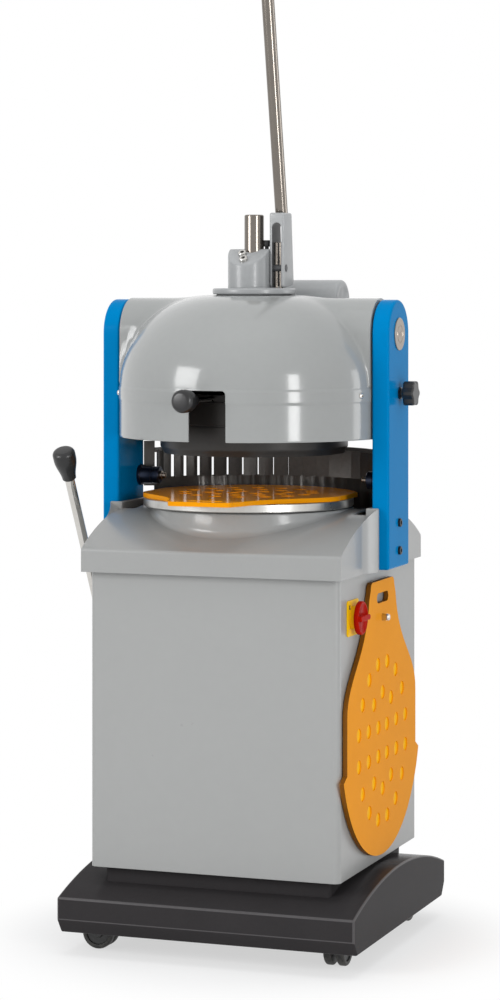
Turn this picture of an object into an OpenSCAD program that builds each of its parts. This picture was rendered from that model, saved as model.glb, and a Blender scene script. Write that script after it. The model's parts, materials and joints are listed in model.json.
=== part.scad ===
// Bakery divider rounder. Millimetres, +Z up, front towards -Y.
// The origin is on the floor, under the axis of the press head.

/* [Base] */
// Width of the arched base
base_w = 620; // [560:1:700]
// Depth of the arched base
base_d = 622; // [580:1:700]
// Middle of the base's depth, behind the head axis
base_y = 16; // [0:1:30]
// Height of the base's lower edge above the floor
base_bottom = 43; // [38:0.5:50]
// Height of the base's front and back upper edges
base_edge = 115; // [105:1:125]
// Height of the top of the arch
base_crest = 166; // [160:1:185]
// Height of the set-back lower part of the front and back
base_chamfer_h = 27; // [15:1:40]
// Set-back of the lower edge
base_chamfer_d = 20; // [10:1:30]
// Wall of the base shell
base_wall = 6; // [4:0.5:9]

/* [Castors] */
// Sideways distance of a castor's swivel from the head axis
castor_x = 240; // [225:1:246]
// Distance of a swivel inside the base's front or back edge
castor_inset = 99; // [89:1:121]
// Radius of a castor wheel
wheel_r = 33; // [29:0.5:34]
// Width of one of the twin wheels
wheel_w = 17; // [12:0.5:20]
// Gap between the twin wheels
wheel_gap = 9; // [8:0.5:12]
// Trail of the wheel behind its swivel
castor_trail = 16; // [10:0.5:18]
// Radius of the swivel stem
stem_r = 8; // [6:0.5:10]
// Radius of the wheel axle
axle_r = 4; // [3:0.5:5]

/* [Cabinet] */
// Width of the plinth
plinth_w = 474; // [430:1:500]
// Depth of the plinth
plinth_d = 460; // [420:1:490]
// Wall of the plinth
plinth_wall = 10; // [6:1:16]
// Least height of the plinth above the arch
plinth_gap = 4; // [3:0.5:10]
// Overhang of the cover past each side of the cabinet
cover_over = 10.5; // [8:0.5:20]
// Depth of the cabinet
cab_d = 506; // [480:1:510]
// Middle of the cabinet's depth, behind the head axis
cab_y = 13; // [8:1:16]
// Height of the cabinet's upper edge above the floor
cab_top = 772; // [765:1:776]
// Sheet thickness of the cabinet
cab_wall = 2.5; // [1.5:0.5:4]
// Outer radius of the cabinet's front corners
cab_r = 14; // [8:1:24]
// Width of the flanges folded inwards
cab_flange = 24; // [18:1:30]
// Thickness of the rear panel
panel_t = 2; // [1.5:0.5:4]

/* [Top cover] */
// Width of the cover
cover_w = 545; // [536:0.5:545]
// Depth of the cover
cover_d = 539; // [532:1:548]
// Middle of the cover's depth, behind the head axis
cover_y = 8; // [4:1:12]
// Height of the lip's lower edge
lip_bottom = 760; // [752:1:764]
// Height of the cover's crest
cover_crest = 878; // [876:1:890]
// Radius of the cover's arch
cover_arch_r = 540; // [520:5:620]
// Radius of the rounded lip
lip_r = 8; // [6:1:26]
// Wall of the cover
cover_wall = 4; // [3:0.5:5]
// Reach of the round seat past the table, below 0 where the table overhangs it
seat_over = -10; // [-14:0.5:10]
// Height of the seat's upper face
seat_top = 879; // [877:0.5:880]

/* [Columns] */
// Gap between the cover's side and a column
col_gap = 0.3; // [0.1:0.1:5]
// Thickness of a column
col_t = 35.5; // [30:0.5:40]
// Depth of a column, and the diameter of its round top
col_d = 138; // [128:1:146]
// Middle of the columns' depth, which is also the tilt axis
col_y = 4; // [2:1:6]
// Height of the columns' lower ends
col_bottom = 764; // [758:1:770]
// Height of the tilt axis
pivot_z = 1233; // [1228:1:1240]
// Radius of the pivot pins
pivot_r = 16; // [12:0.5:20]
// Radius of the pivot discs
pivot_disc_r = 33; // [26:1:40]
// Height of the clamp knob
knob_z = 1114; // [1104:1:1126]
// Radius of the clamp knob's stem
knob_stem_r = 6; // [5:0.5:8]
// Lower and upper height of the column screws
col_screw_z = [798, 854]; // [784:1:862]

/* [Guard] */
// Distance of the guard inside a column's inner face
guard_clear = 9.3; // [8.3:0.1:10]
// Thickness of the guard
guard_t = 3.5; // [2:0.5:4]
// Height of the guard's upper edge
guard_top = 990; // [975:1:992]
// Number of slots in the guard
guard_slots = 24; // [12:1:26]
// Width of a guard slot
slot_w = 15; // [8:0.5:18]
// Angle of the guard's right end from the +X direction
guard_from = 18; // [18:1:30]

/* [Table and drive] */
// Radius of the table's orbit
orbit_r = 12; // [8:0.5:13]
// Overhang of a plate's round end past the table
plate_over = 5; // [1:1:12]
// Height of the table disc's lower face
table_z = 881; // [878:0.5:884]
// Thickness of the table disc
table_t = 17; // [14:0.5:20]
// Radius of the crank pin under the table
crank_pin_r = 15; // [10:0.5:20]
// Radius of the main shaft
shaft_r = 16; // [12:0.5:22]
// Radius of the driven pulley
pulley_r = 90; // [70:1:96]
// Radius of the motor pulley
motor_pulley_r = 36; // [28:1:40]
// Distance of the motor shaft behind the main shaft
motor_y = 150; // [145:1:160]
// Radius of the motor
motor_r = 65; // [50:1:70]
// Height of the motor
motor_h = 190; // [150:1:230]
// Width of the drive belt
belt_w = 14; // [10:0.5:18]
// Distance of the idler cranks from the shaft, sideways
idler_x = 150; // [140:1:165]
// Radius of the idler cranks' journals
idler_r = 10; // [7:0.5:12]

/* [Moulding plates] */
// Distance from the plate's middle to the end of its handle
plate_handle = 288; // [280:1:320]
// How much the spare plate's round end is larger
spare_over = 44; // [0:1:46]
// How much the spare plate's handle is wider on each side
spare_handle_over = 11; // [0:1:14]
// Gap between the guard and a plate's round end
plate_clear = 43.5; // [38:0.5:50]
// How much a plate's flat side lies inside its round end
plate_flat = 9; // [5:0.5:28]
// Half width of the handle
handle_half_w = 68; // [56:1:90]
// Thickness of a plate
plate_t = 9; // [7:0.5:10]
// Radius of a pocket
pocket_r = 14; // [10:0.5:16]
// Depth of a pocket
pocket_d = 2.5; // [1:0.5:4]
// Height of the hanger peg on the right side
peg_z = 663; // [650:1:690]
// Radius of the hanger peg
peg_r = 7; // [5:0.5:8]

/* [Press head] */
// Reach of the dome past a column's inner face
dome_over = 2.2; // [-2.8:0.1:4.2]
// Height of the skirt's lower edge
skirt_bottom = 1022; // [1018:1:1030]
// Height of the belt's upper edge, where the dome begins
belt_top = 1124; // [1116:1:1130]
// Height of the belt
belt_h = 25; // [15:1:32]
// Radius of the dome's shoulder
shoulder_r = 186; // [170:1:188]
// Wall of the dome
dome_wall = 4; // [3:0.5:6]
// Distance of the dome's flat back behind the head axis
dome_back = 225; // [200:1:232]
// Width of the notch in the dome's front
notch_w = 78; // [74:1:90]
// Radius of the saddle between the columns
saddle_r = 72; // [70:0.5:76]
// Radius of the flange on the dome
flange_r = 85; // [80:1:95]
// Height of the flange's upper face
flange_top = 1325; // [1318:1:1330]
// Height of the cast block's upper edge
block_top = 1405; // [1398:1:1412]
// Half width of the block on the left
block_left = 44; // [36:1:50]
// Half width of the block on the right
block_right = 34; // [30:1:34]
// Radius of the ram rod
rod_r = 20; // [16:0.5:22]
// Height of the ram rod's upper end
rod_top = 1475; // [1440:1:1490]
// Radius of the drum behind the saddle
drum_r = 46; // [36:1:50]
// Right end of the drum
drum_right = 148; // [125:1:165]

/* [Press] */
// Distance of the pressing ring inside the table's edge
ring_inset = 23; // [20:1:30]
// Wall of the pressing ring
ring_wall = 8; // [6:0.5:10]
// Height of the ring's lower edge at rest
ring_bottom = 990; // [984.5:0.5:992]
// Height of the carrier's lower face, on top of the ring
carrier_z = 1082; // [1078:1:1086]
// Thickness of the carrier
carrier_t = 16; // [12:0.5:20]
// Thickness of a knife
knife_t = 3; // [2:0.5:4]
// Gap between a knife and a stamp
knife_gap = 0.6; // [0.4:0.1:1]
// Thickness of the stamps
stamp_t = 14; // [10:0.5:16]
// Height of the stamps' lower faces at rest
stamp_z = 1000; // [998:0.5:1002]
// Radius of a stamp's rod
stamp_rod_r = 5; // [4:0.5:6]

/* [Lever] */
// Sideways place of the press lever
lever_x = 52; // [52:0.5:58]
// Width of the lever's socket
socket_w = 32; // [28:0.5:32]
// Lean of the lever tube towards the front
lever_lean = 11; // [8:0.5:14]
// Radius of the lever tube
lever_r = 13; // [10:0.5:13.5]
// Length of the lever tube above its socket
lever_len = 600; // [400:5:700]
// Height of the fulcrum pin
fulcrum_z = 1366; // [1364:1:1370]
// Distance of the fulcrum pin behind the head axis
fulcrum_y = 4; // [0:0.5:8]
// Height of the socket's upper end
socket_top = 1479; // [1460:1:1490]
// Radius of the fulcrum pin
fulcrum_r = 8; // [6:0.5:9]
// Radius of the black grips
grip_r = 23; // [18:0.5:25]
// Length of the black grips
grip_len = 68; // [55:1:75]

/* [Side lever and switch] */
// Distance of the side lever outside the cover's side
side_out = 53.5; // [51.5:0.5:62.5]
// Height of the side lever's pivot
side_z = 560; // [520:1:600]
// Distance of the side lever's pivot in front of the main shaft, below 0 where it is behind
side_y = -15; // [-35:1:5]
// Lean of the side lever towards the front
side_lean = 29; // [22:0.5:37]
// Length of the side lever's rod
side_len = 455; // [390:5:480]
// Radius of the side lever's rod
side_rod_r = 10; // [7:0.5:11]
// Side of the square switch plate
switch_w = 70; // [68:1:90]
// Height of the switch's axis
switch_z = 679; // [640:1:700]
// Distance of the switch's axis in front of the head axis
switch_y = 160; // [140:1:180]
// Radius of the rotary switch knob
switch_r = 33; // [24:0.5:36]

/* [Hidden] */
$fn = 96;

// Running clearance of shafts, gap between moving pieces, and overlap of cuts
run = 0.05;
gap = 0.3;
cut = 1;

// Sizes that follow from one another
castor_dy = base_d / 2 - castor_inset;
cab_w = cover_w - 2 * cover_over;
col_in = cover_w / 2 + col_gap;
deep_half = cover_d / 2 + 3.3;
guard_r = min(col_in, deep_half) - guard_clear;
plate_r = guard_r - plate_clear;
plate_half_w = plate_r - plate_flat;
table_r = plate_r - plate_over;
seat_r = table_r + seat_over;
dome_r = col_in + dome_over;
ring_r = table_r - ring_inset;
side_x = cover_w / 2 + side_out;

// Base
arch_half = base_d / 2;
arch_rise = base_crest - base_edge;
arch_r = (arch_half * arch_half + arch_rise * arch_rise) / (2 * arch_rise);
arch_z = base_crest - arch_r;
base_front = base_y - base_d / 2;
base_back = base_y + base_d / 2;
boss_r = stem_r + 14;
boss_bottom = 2 * wheel_r + 12;
castor_turn = [90, 0, 0, 0];
castor_places = [
    [-castor_x, base_y - castor_dy], [castor_x, base_y - castor_dy],
    [-castor_x, base_y + castor_dy], [castor_x, base_y + castor_dy]
];

// Cabinet
cab_bottom = base_crest + plinth_gap;
cab_front = cab_y - cab_d / 2;
cab_back = cab_y + cab_d / 2;
panel_screw_r = 2;
panel_screw_x = cab_w / 2 - cab_flange / 2;
panel_screw_z = [cab_bottom + 40, (cab_bottom + cab_top) / 2, cab_top - 40];
gland_x = -140;
gland_z = cab_bottom + 90;
gland_bore_r = 5;
gland_r = 10;

// Bed plate, columns and cover
bed_t = 12;
bed_top = cab_top + bed_t;
block_half_d = col_d / 2 - 5;
col_block_t = 36.8;
col_block_in = col_in - col_block_t;
col_block_top = 868;
cover_front = cover_y - cover_d / 2;
cover_back = cover_y + cover_d / 2;
cover_arch_z = cover_crest - cover_arch_r;
collar_top = seat_top + 8;
collar_out = col_in + 16;
collar_in = cab_w / 2 + gap;
collar_grow = 8;
drive_top = seat_top - 35;
seat_hole_r = 118;
col_screw_r = 5;
knob_y = col_y + 4;

// Table and drive
orbit_angle = 185;
orbit = orbit_r * [cos(orbit_angle), sin(orbit_angle)];
table_top = table_z + table_t;
plate_z = table_top + gap;
plate_top = plate_z + plate_t;
housing_top = drive_top;
web_bottom = housing_top + gap;
web_t = 11;
web_r = 46;
pin_top = table_z - 1;
pulley_z = cab_top - 34;
pulley_t = belt_w + 8;
bracket_z = pulley_z - 16;
bracket_t = 8;
fin_out = 6;
fin_less = 60;
box_w = 40;
box_d = 26;
box_h = 50;
bracket_hole_r = 22;
bracket_leg_r = 8;
idler_y = 40;
idler_pin_r = idler_r - 2;

// Press head
head_half = col_in - 3;
dome_top = belt_top + shoulder_r;
beam_half_h = 32;
beam_half_d = 40;
block_front = 10;
block_back = 30;
drum_y = 134;
drum_z = 1296;
drum_left = 22;
ram_travel = ring_bottom - plate_top - 1.7;
selector_t = 14;
handle_z = carrier_z + carrier_t + gap + selector_t / 2;
handle_turn = 5.7;
handle_stem_r = 5;
selector_r = ring_r - 4;
knife_bottom = stamp_z + 3;
knife_h = 52;
knife_plate_t = 8;
ring_radii = ring_r * [62, 126] / 204;
ring_counts = [4, 10, 16];
stamp_r = ring_r - ring_wall - 1.5;
stamp_mid = [ring_radii[0] / 2 + 7, (ring_radii[0] + ring_radii[1]) / 2, (ring_radii[1] + stamp_r) / 2];

// Fittings
buffer_r = 18;
buffer_y = 52;
buffer_z = plate_top + buffer_r + 9;
buffer_len = 46;
buffer_pin = 12;
bracket_x = 100;
bracket_d = 84;
shoulder_y = -84;
corner_r = 14;
pocket_rings = [[4, 0.155], [10, 0.367], [16, 0.6]];
pocket_low = 35;
spare_gap = 3;
neck_y = plate_handle - 33;
bend_y = 38;
slot_half = 28;
slot_r = 10;
handle_slot_y = plate_handle - 35;
peg_hole_y = plate_handle - 75;
switch_plate_t = 3;
switch_face = cab_w / 2 + switch_plate_t;
switch_shaft_r = 6;
knob_face = switch_face + 10.5;
knob_t = 10;
belt_out = 1.5;
dome_screw_turn = 70;
dome_screw_z = belt_top - belt_h / 2;
dome_screw_r = 3;
beam_end = 1;
neck_out = 38;
flange_t = 14;
post_r = 4.5;
post_dx = 5;
post_top = 1419;
slot_x = 2 * (post_r + post_dx) + 1;
socket_front = fulcrum_y - 13;
tube_y = socket_front + 30;
tube_seat = 16;
selector_t_r = 32;
selector_in = selector_r - selector_t_r;
stamp_places = [
    for (k = [0 : 2], i = [0 : ring_counts[k] - 1])
        let (a = (i + 0.5) * 360 / ring_counts[k]) stamp_mid[k] * [cos(a), sin(a)]
];
stem_seat = 16;
grip_from = dome_r - 10;

// Colours
grey = [0.62, 0.63, 0.64];
black = [0.06, 0.06, 0.07];
blue = [0.0, 0.45, 0.72];
steel = [0.75, 0.76, 0.78];
orange = [0.9, 0.6, 0.15];
dark = [0.25, 0.26, 0.27];

// Points on an arc about c, from angle a0 to a1 in n steps
function arc(c, r, a0, a1, n) = [for (i = [0 : n]) let (a = a0 + (a1 - a0) * i / n) c + r * [cos(a), sin(a)]];

// A drawing with x as Y and y as Z, drawn out along X
module along_x(x0, x1) {
    translate([x0, 0, 0]) rotate([90, 0, 90]) linear_extrude(x1 - x0) children();
}

// A cylinder along X
module rod_x(x0, x1, y, z, r) {
    translate([x0, y, z]) rotate([0, 90, 0]) cylinder(r = r, h = x1 - x0);
}

// A box between two corners
module box(lo, hi) {
    translate(lo) cube(hi - lo);
}

// A tube or ring
module tube(r, bore, h) {
    difference() {
        cylinder(r = r, h = h);
        translate([0, 0, -cut]) cylinder(r = bore, h = h + 2 * cut);
    }
}

// Outline of the base, set in by a wall
module base_profile(inset) {
    intersection() {
        translate([base_y, arch_z]) circle(r = arch_r - inset, $fn = 200);
        polygon([
            [base_front + base_chamfer_d + inset, base_bottom - (inset > 0 ? cut : 0)],
            [base_front + inset, base_bottom + base_chamfer_h],
            [base_front + inset, base_crest + cut], [base_back - inset, base_crest + cut],
            [base_back - inset, base_bottom + base_chamfer_h],
            [base_back - base_chamfer_d - inset, base_bottom - (inset > 0 ? cut : 0)]
        ]);
    }
}

module base_shell() {
    color(black) difference() {
        union() {
            difference() {
                along_x(-base_w / 2, base_w / 2) base_profile(0);
                along_x(-base_w / 2 + base_wall, base_w / 2 - base_wall) base_profile(base_wall);
            }
            intersection() {
                along_x(-base_w / 2, base_w / 2) base_profile(base_wall / 2);
                for (p = castor_places)
                    translate([p[0], p[1], boss_bottom]) cylinder(r = boss_r, h = base_crest);
            }
        }
        for (p = castor_places)
            translate([p[0], p[1], boss_bottom - cut]) cylinder(r = stem_r + run, h = 45 + cut);
    }
}

module plinth() {
    color(black) difference() {
        box([-plinth_w / 2, cab_y - plinth_d / 2, base_edge],
            [plinth_w / 2, cab_y + plinth_d / 2, cab_bottom]);
        box([-plinth_w / 2 + plinth_wall, cab_y - plinth_d / 2 + plinth_wall, base_edge - cut],
            [plinth_w / 2 - plinth_wall, cab_y + plinth_d / 2 - plinth_wall, cab_bottom + cut]);
        along_x(-base_w, base_w) translate([base_y, arch_z]) circle(r = arch_r, $fn = 200);
    }
}

// Plan of the cabinet with round front corners, set in by a wall
module cabinet_plan(inset) {
    half = cab_w / 2 - inset;
    r = cab_r - inset;
    front = cab_front + inset;
    union() {
        translate([-half, front + r]) square([2 * half, cab_back - front - r]);
        translate([-half + r, front]) square([2 * (half - r), 2 * r]);
        for (s = [-1, 1]) translate([s * (half - r), front + r]) circle(r = r);
    }
}

module cabinet_shell() {
    color(grey) difference() {
        translate([0, 0, cab_bottom]) linear_extrude(cab_top - cab_bottom) cabinet_plan(0);
        translate([0, 0, cab_bottom + cab_wall])
            linear_extrude(cab_top - cab_bottom - 2 * cab_wall) intersection() {
                cabinet_plan(cab_wall);
                translate([-cab_w, cab_front]) square([2 * cab_w, cab_d - cab_wall]);
            }
        box([-cab_w / 2 + cab_flange, cab_front + cab_flange, cab_top - cab_wall - cut],
            [cab_w / 2 - cab_flange, cab_back - cab_flange, cab_top + cut]);
        box([-cab_w / 2 + cab_flange, cab_back - cab_wall - cut, cab_bottom + cab_flange],
            [cab_w / 2 - cab_flange, cab_back + cut, cab_top - cab_flange]);
        for (s = [-1, 1], z = panel_screw_z)
            translate([s * panel_screw_x, cab_back + cut, z]) rotate([90, 0, 0])
                cylinder(r = panel_screw_r, h = cab_wall + 2 * cut);
        rod_x(-cab_w / 2 - cut, -cab_w / 2 + cab_wall + cut, -side_y, side_z, side_rod_r + 4);
        rod_x(cab_w / 2 - cab_wall - cut, cab_w / 2 + cut, col_y, peg_z, peg_r / 2);
        rod_x(cab_w / 2 - cab_wall - cut, cab_w / 2 + cut, -switch_y, switch_z, switch_shaft_r + run);
    }
}

module rear_panel() {
    color(grey) difference() {
        box([-cab_w / 2 + 1, cab_back, cab_bottom + 1], [cab_w / 2 - 1, cab_back + panel_t, cab_top - 14]);
        for (s = [-1, 1], z = panel_screw_z)
            translate([s * panel_screw_x, cab_back + panel_t + cut, z]) rotate([90, 0, 0])
                cylinder(r = panel_screw_r, h = panel_t + 2 * cut);
        translate([gland_x, cab_back + panel_t + cut, gland_z]) rotate([90, 0, 0])
            cylinder(r = gland_r - 2, h = panel_t + 2 * cut);
    }
}

module panel_screws() {
    color(steel) for (s = [-1, 1], z = panel_screw_z)
        translate([s * panel_screw_x, cab_back + panel_t, z]) rotate([-90, 0, 0]) {
            cylinder(r = 2.2 * panel_screw_r, h = 2.4);
            translate([0, 0, -panel_t - 8]) cylinder(r = panel_screw_r, h = panel_t + 8);
        }
}

module cable_gland() {
    color(black) translate([gland_x, cab_back + panel_t, gland_z]) rotate([-90, 0, 0]) difference() {
        union() {
            cylinder(r = gland_r + 2, h = 6, $fn = 6);
            translate([0, 0, 6]) cylinder(r = gland_r - 1, h = 14);
            translate([0, 0, -panel_t - 8]) cylinder(r = gland_r - 2, h = panel_t + 8);
        }
        translate([0, 0, -panel_t - 8 - cut]) cylinder(r = gland_bore_r, h = panel_t + 28 + 2 * cut);
    }
}

// Steel bed: plate, the two blocks that the columns are bolted to, and the idlers' bosses
module bed_plate() {
    color(dark) difference() {
        union() {
            box([-cab_w / 2 + cab_wall, cab_front + cab_r, cab_top],
                [cab_w / 2 - cab_wall, cab_back - 2, bed_top]);
            for (s = [-1, 1])
                translate([s * (col_block_in + col_in) / 2, col_y, (cab_top + col_block_top) / 2])
                    cube([col_in - col_block_in, 2 * block_half_d, col_block_top - cab_top], center = true);
            for (s = [-1, 1]) translate([s * idler_x, idler_y, cab_top])
                cylinder(r = idler_r + 10, h = web_bottom - gap - cab_top);
        }
        translate([0, 0, cab_top - cut]) cylinder(r = shaft_r + 8, h = bed_t + 2 * cut);
        for (s = [-1, 1]) translate([s * idler_x, idler_y, cab_top - cut])
            cylinder(r = idler_r + run, h = web_bottom);
        for (s = [-1, 1], z = col_screw_z)
            translate([s * (col_in + cut), col_y, z]) rotate([0, -90 * s, 0])
                cylinder(r = col_screw_r, h = 26 + cut);
    }
}

// Side outline of the cover, set in by a wall
module cover_profile(inset) {
    fillet_y = cover_front + lip_r - cover_y;
    fillet_z = cover_arch_z + sqrt(pow(cover_arch_r - lip_r, 2) - fillet_y * fillet_y);
    tangent = atan2(fillet_z - cover_arch_z, fillet_y);
    difference() {
        intersection() {
            translate([cover_y, cover_arch_z]) circle(r = cover_arch_r - inset, $fn = 200);
            translate([cover_front + inset, lip_bottom - (inset > 0 ? cut : 0)])
                square([cover_d - 2 * inset, cover_crest]);
        }
        if (inset == 0) for (s = [0, 1])
            translate([cover_y, 0]) mirror([s, 0]) translate([fillet_y, fillet_z]) difference() {
                polygon(4 * lip_r * [[0, 0], [cos(tangent), sin(tangent)], [-1, 1], [-1, 0]]);
                circle(r = lip_r);
            }
    }
}

// The round seat stands proud of the cover's slopes, and the table's hub passes through its hole
module top_cover() {
    well = cover_wall + 26;
    color(grey) difference() {
        union() {
            difference() {
                along_x(-cover_w / 2, cover_w / 2) cover_profile(0);
                along_x(-cover_w / 2 + cover_wall, cover_w / 2 - cover_wall) cover_profile(cover_wall);
            }
            difference() {
                translate([0, 0, lip_bottom]) cylinder(r = seat_r, h = seat_top - lip_bottom, $fn = 200);
                translate([0, 0, lip_bottom - cut])
                    cylinder(r = seat_r - cover_wall, h = seat_top - lip_bottom - cover_wall + cut);
                along_x(-cover_w, cover_w) cover_profile(cover_wall);
            }
            translate([0, 0, seat_top - cover_wall]) tube(seat_r - 1, seat_hole_r, cover_wall);
            for (s = [-1, 1])
                translate([s * (collar_out + collar_in) / 2, col_y, (collar_top + lip_bottom) / 2]) cube([
                    collar_out - collar_in, col_d + 2 * collar_grow, collar_top - lip_bottom
                ], center = true);
        }
        translate([0, 0, seat_top]) cylinder(r = seat_r, h = 60, $fn = 200);
        translate([0, 0, seat_top - well]) cylinder(r = seat_hole_r, h = 60);
        for (s = [-1, 1]) {
            translate([s * idler_x, idler_y, seat_top - well]) cylinder(r = idler_r + orbit_r + 16, h = 60);
            translate([s * (col_in + col_t), col_y, pivot_z]) cube([
                2 * col_t + 2 * gap, col_d + 2 * gap, 2 * (pivot_z - lip_bottom) + 2 * cut
            ], center = true);
            translate([s * (col_block_in + col_in) / 2, col_y, (lip_bottom + col_block_top) / 2]) cube([
                col_in - col_block_in + 2 * cut, 2 * block_half_d + 2 * gap,
                col_block_top - lip_bottom + 2 * gap
            ], center = true);
        }
    }
}

// One column: an outline with a round top, drawn out along X
module column(side) {
    x0 = side > 0 ? col_in : -col_in - col_t;
    difference() {
        along_x(x0, x0 + col_t) union() {
            translate([col_y - col_d / 2, col_bottom]) square([col_d, pivot_z - col_bottom]);
            translate([col_y, pivot_z]) circle(r = col_d / 2);
        }
        rod_x(x0 - cut, x0 + col_t + cut, col_y, pivot_z, pivot_r);
        if (side > 0) rod_x(x0 - cut, x0 + col_t + cut, knob_y, knob_z, knob_stem_r + run);
        for (z = col_screw_z) rod_x(x0 - cut, x0 + col_t + cut, col_y, z, col_screw_r);
    }
}

module left_column() { color(blue) column(-1); }
module right_column() { color(blue) column(1); }

module column_screws() {
    color(black) for (s = [-1, 1], z = col_screw_z)
        translate([s * (col_in + col_t), col_y, z]) rotate([0, 90 * s, 0]) difference() {
            union() {
                cylinder(r = 1.7 * col_screw_r, h = col_screw_r);
                translate([0, 0, -col_t - 24]) cylinder(r = col_screw_r, h = col_t + 24);
            }
            translate([0, 0, 2]) cylinder(r = 0.9 * col_screw_r, h = col_screw_r, $fn = 6);
        }
}

module pivot_pins() {
    color(steel) for (s = [-1, 1]) translate([s * (col_in + col_t), col_y, pivot_z]) rotate([0, 90 * s, 0]) {
        cylinder(r = pivot_disc_r, h = 5);
        translate([0, 0, 5]) cylinder(r = 9, h = 5, $fn = 6);
        translate([0, 0, -col_t - 32]) cylinder(r = pivot_r, h = col_t + 32);
    }
}

// The guard stands on the cover's arch, outside the seat
module rear_guard() {
    turn = (180 - 2 * guard_from) / guard_slots;
    color(dark) difference() {
        translate([0, 0, lip_bottom]) rotate([0, 0, guard_from])
            rotate_extrude(angle = 180 - 2 * guard_from, $fn = 200)
                translate([guard_r, 0]) square([guard_t, guard_top - lip_bottom]);
        along_x(-cover_w, cover_w) cover_profile(0);
        for (i = [0 : guard_slots - 1]) rotate([0, 0, guard_from + (i + 0.5) * turn])
            translate([guard_r - cut, -slot_w / 2, plate_top + 20])
                cube([guard_t + 2 * cut, slot_w, guard_top - plate_top - 30]);
    }
}

// Round buffers on the columns' inner faces, each with a pin towards the ring
module column_buffers() {
    color(black) for (s = [-1, 1])
        translate([s * col_in, buffer_y, buffer_z]) rotate([0, -90 * s, 0]) {
            cylinder(r = buffer_r, h = buffer_len);
            cylinder(r = buffer_r + 4, h = 6);
            cylinder(r = buffer_r / 3, h = buffer_len + buffer_pin);
        }
}

module motor() {
    color(dark) translate([0, motor_y, bracket_z]) {
        translate([0, 0, -motor_h]) cylinder(r = motor_r, h = motor_h - 10);
        translate([0, 0, -10]) cylinder(r = motor_r - 8, h = 10);
        for (i = [0 : 11]) rotate([0, 0, 30 * i])
            translate([motor_r - 1, -2, -motor_h + 20]) cube([fin_out, 4, motor_h - fin_less]);
        translate([-box_w / 2, 2 - motor_r - box_d, -(motor_h + box_h) / 2]) cube([box_w, box_d, box_h]);
    }
}

module motor_bracket() {
    color(steel) difference() {
        union() {
            box([-bracket_x, motor_y - bracket_d, bracket_z],
                [bracket_x, motor_y + bracket_d, bracket_z + bracket_t]);
            for (s = [-1, 1], t = [-1, 1])
                translate([s * (bracket_x - 9), motor_y + t * (bracket_d - 9), bracket_z])
                    cylinder(r = bracket_leg_r, h = cab_top - bracket_z);
        }
        translate([0, motor_y, bracket_z - cut]) cylinder(r = bracket_hole_r, h = bracket_t + 2 * cut);
    }
}

module bearing_housing() {
    color(steel) translate([0, 0, bed_top]) difference() {
        union() {
            cylinder(r = shaft_r + 42, h = 12);
            cylinder(r = shaft_r + 24, h = housing_top - bed_top);
        }
        translate([0, 0, -cut]) cylinder(r = shaft_r + run, h = housing_top);
    }
}

// Path of the belt round both pulleys, at a distance from their rims
module belt_plan(grow) {
    tilt = asin((pulley_r - motor_pulley_r) / motor_y);
    polygon(concat(
        arc([0, 0], pulley_r + grow, 180 - tilt, 360 + tilt, 48),
        arc([0, motor_y], motor_pulley_r + grow, tilt, 180 - tilt, 24)
    ));
}

module drive_belt() {
    color(black) translate([0, 0, pulley_z + (pulley_t - belt_w) / 2]) linear_extrude(belt_w) difference() {
        belt_plan(gap + 5 - 4);
        belt_plan(gap - 4);
    }
}

// A flat-belt pulley: groove 4 mm deep between two rims
module pulley(r) {
    groove = (pulley_t - belt_w) / 2 - gap;
    rotate_extrude() polygon([
        [0, 0], [r, 0], [r, groove], [r - 4, groove],
        [r - 4, pulley_t - groove], [r, pulley_t - groove], [r, pulley_t], [0, pulley_t]
    ]);
}

module driven_pulley() {
    color(dark) translate([0, 0, pulley_z]) difference() {
        pulley(pulley_r);
        translate([0, 0, -cut]) cylinder(r = shaft_r, h = pulley_t + 2 * cut);
        for (i = [0 : 5]) rotate([0, 0, 60 * i])
            translate([pulley_r * 0.6, 0, -cut]) cylinder(r = 14, h = pulley_t + 2 * cut);
    }
}

module motor_pulley() {
    color(dark) translate([0, motor_y, 0]) {
        translate([0, 0, pulley_z]) pulley(motor_pulley_r);
        translate([0, 0, bracket_z + gap]) cylinder(r = 11, h = pulley_z - bracket_z);
    }
}

module eccentric_shaft() {
    color(steel) {
        translate([0, 0, pulley_z - 8]) cylinder(r = shaft_r, h = web_bottom + 2 - pulley_z + 8);
        translate([0, 0, web_bottom]) cylinder(r = web_r, h = web_t);
        translate([orbit[0], orbit[1], web_bottom]) cylinder(r = crank_pin_r, h = pin_top - web_bottom);
    }
}

// An idler crank that turns with the main shaft and keeps the table from turning
module idler_crank(side) {
    color(steel) translate([side * idler_x, idler_y, 0]) {
        translate([0, 0, cab_top + 2]) cylinder(r = idler_r, h = web_bottom - cab_top);
        translate([0, 0, web_bottom]) cylinder(r = idler_r + 9, h = web_t);
        translate([orbit[0], orbit[1], web_bottom]) cylinder(r = idler_pin_r, h = table_z + 10 - web_bottom);
    }
}

module idler_crank_left() { idler_crank(-1); }
module idler_crank_right() { idler_crank(1); }

module table_disc() {
    color([0.8, 0.81, 0.83]) translate([orbit[0], orbit[1], table_z]) difference() {
        cylinder(r = table_r, h = table_t, $fn = 200);
        for (s = [-1, 1]) translate([s * idler_x, idler_y, -cut])
            cylinder(r = idler_pin_r + run, h = 11 + cut);
    }
}

module table_hub() {
    color(steel) translate([orbit[0], orbit[1], web_bottom + web_t + gap]) difference() {
        cylinder(r = crank_pin_r + 30, h = table_z - web_bottom - web_t - gap);
        translate([0, 0, -cut]) cylinder(r = crank_pin_r + run, h = table_z);
    }
}

// Points on a smooth curve from a to d
function curve(a, b, c, d, n) = [
    for (i = [0 : n]) let (t = i / n, u = 1 - t)
        u * u * u * a + 3 * u * u * t * b + 3 * u * t * t * c + t * t * t * d
];

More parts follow.
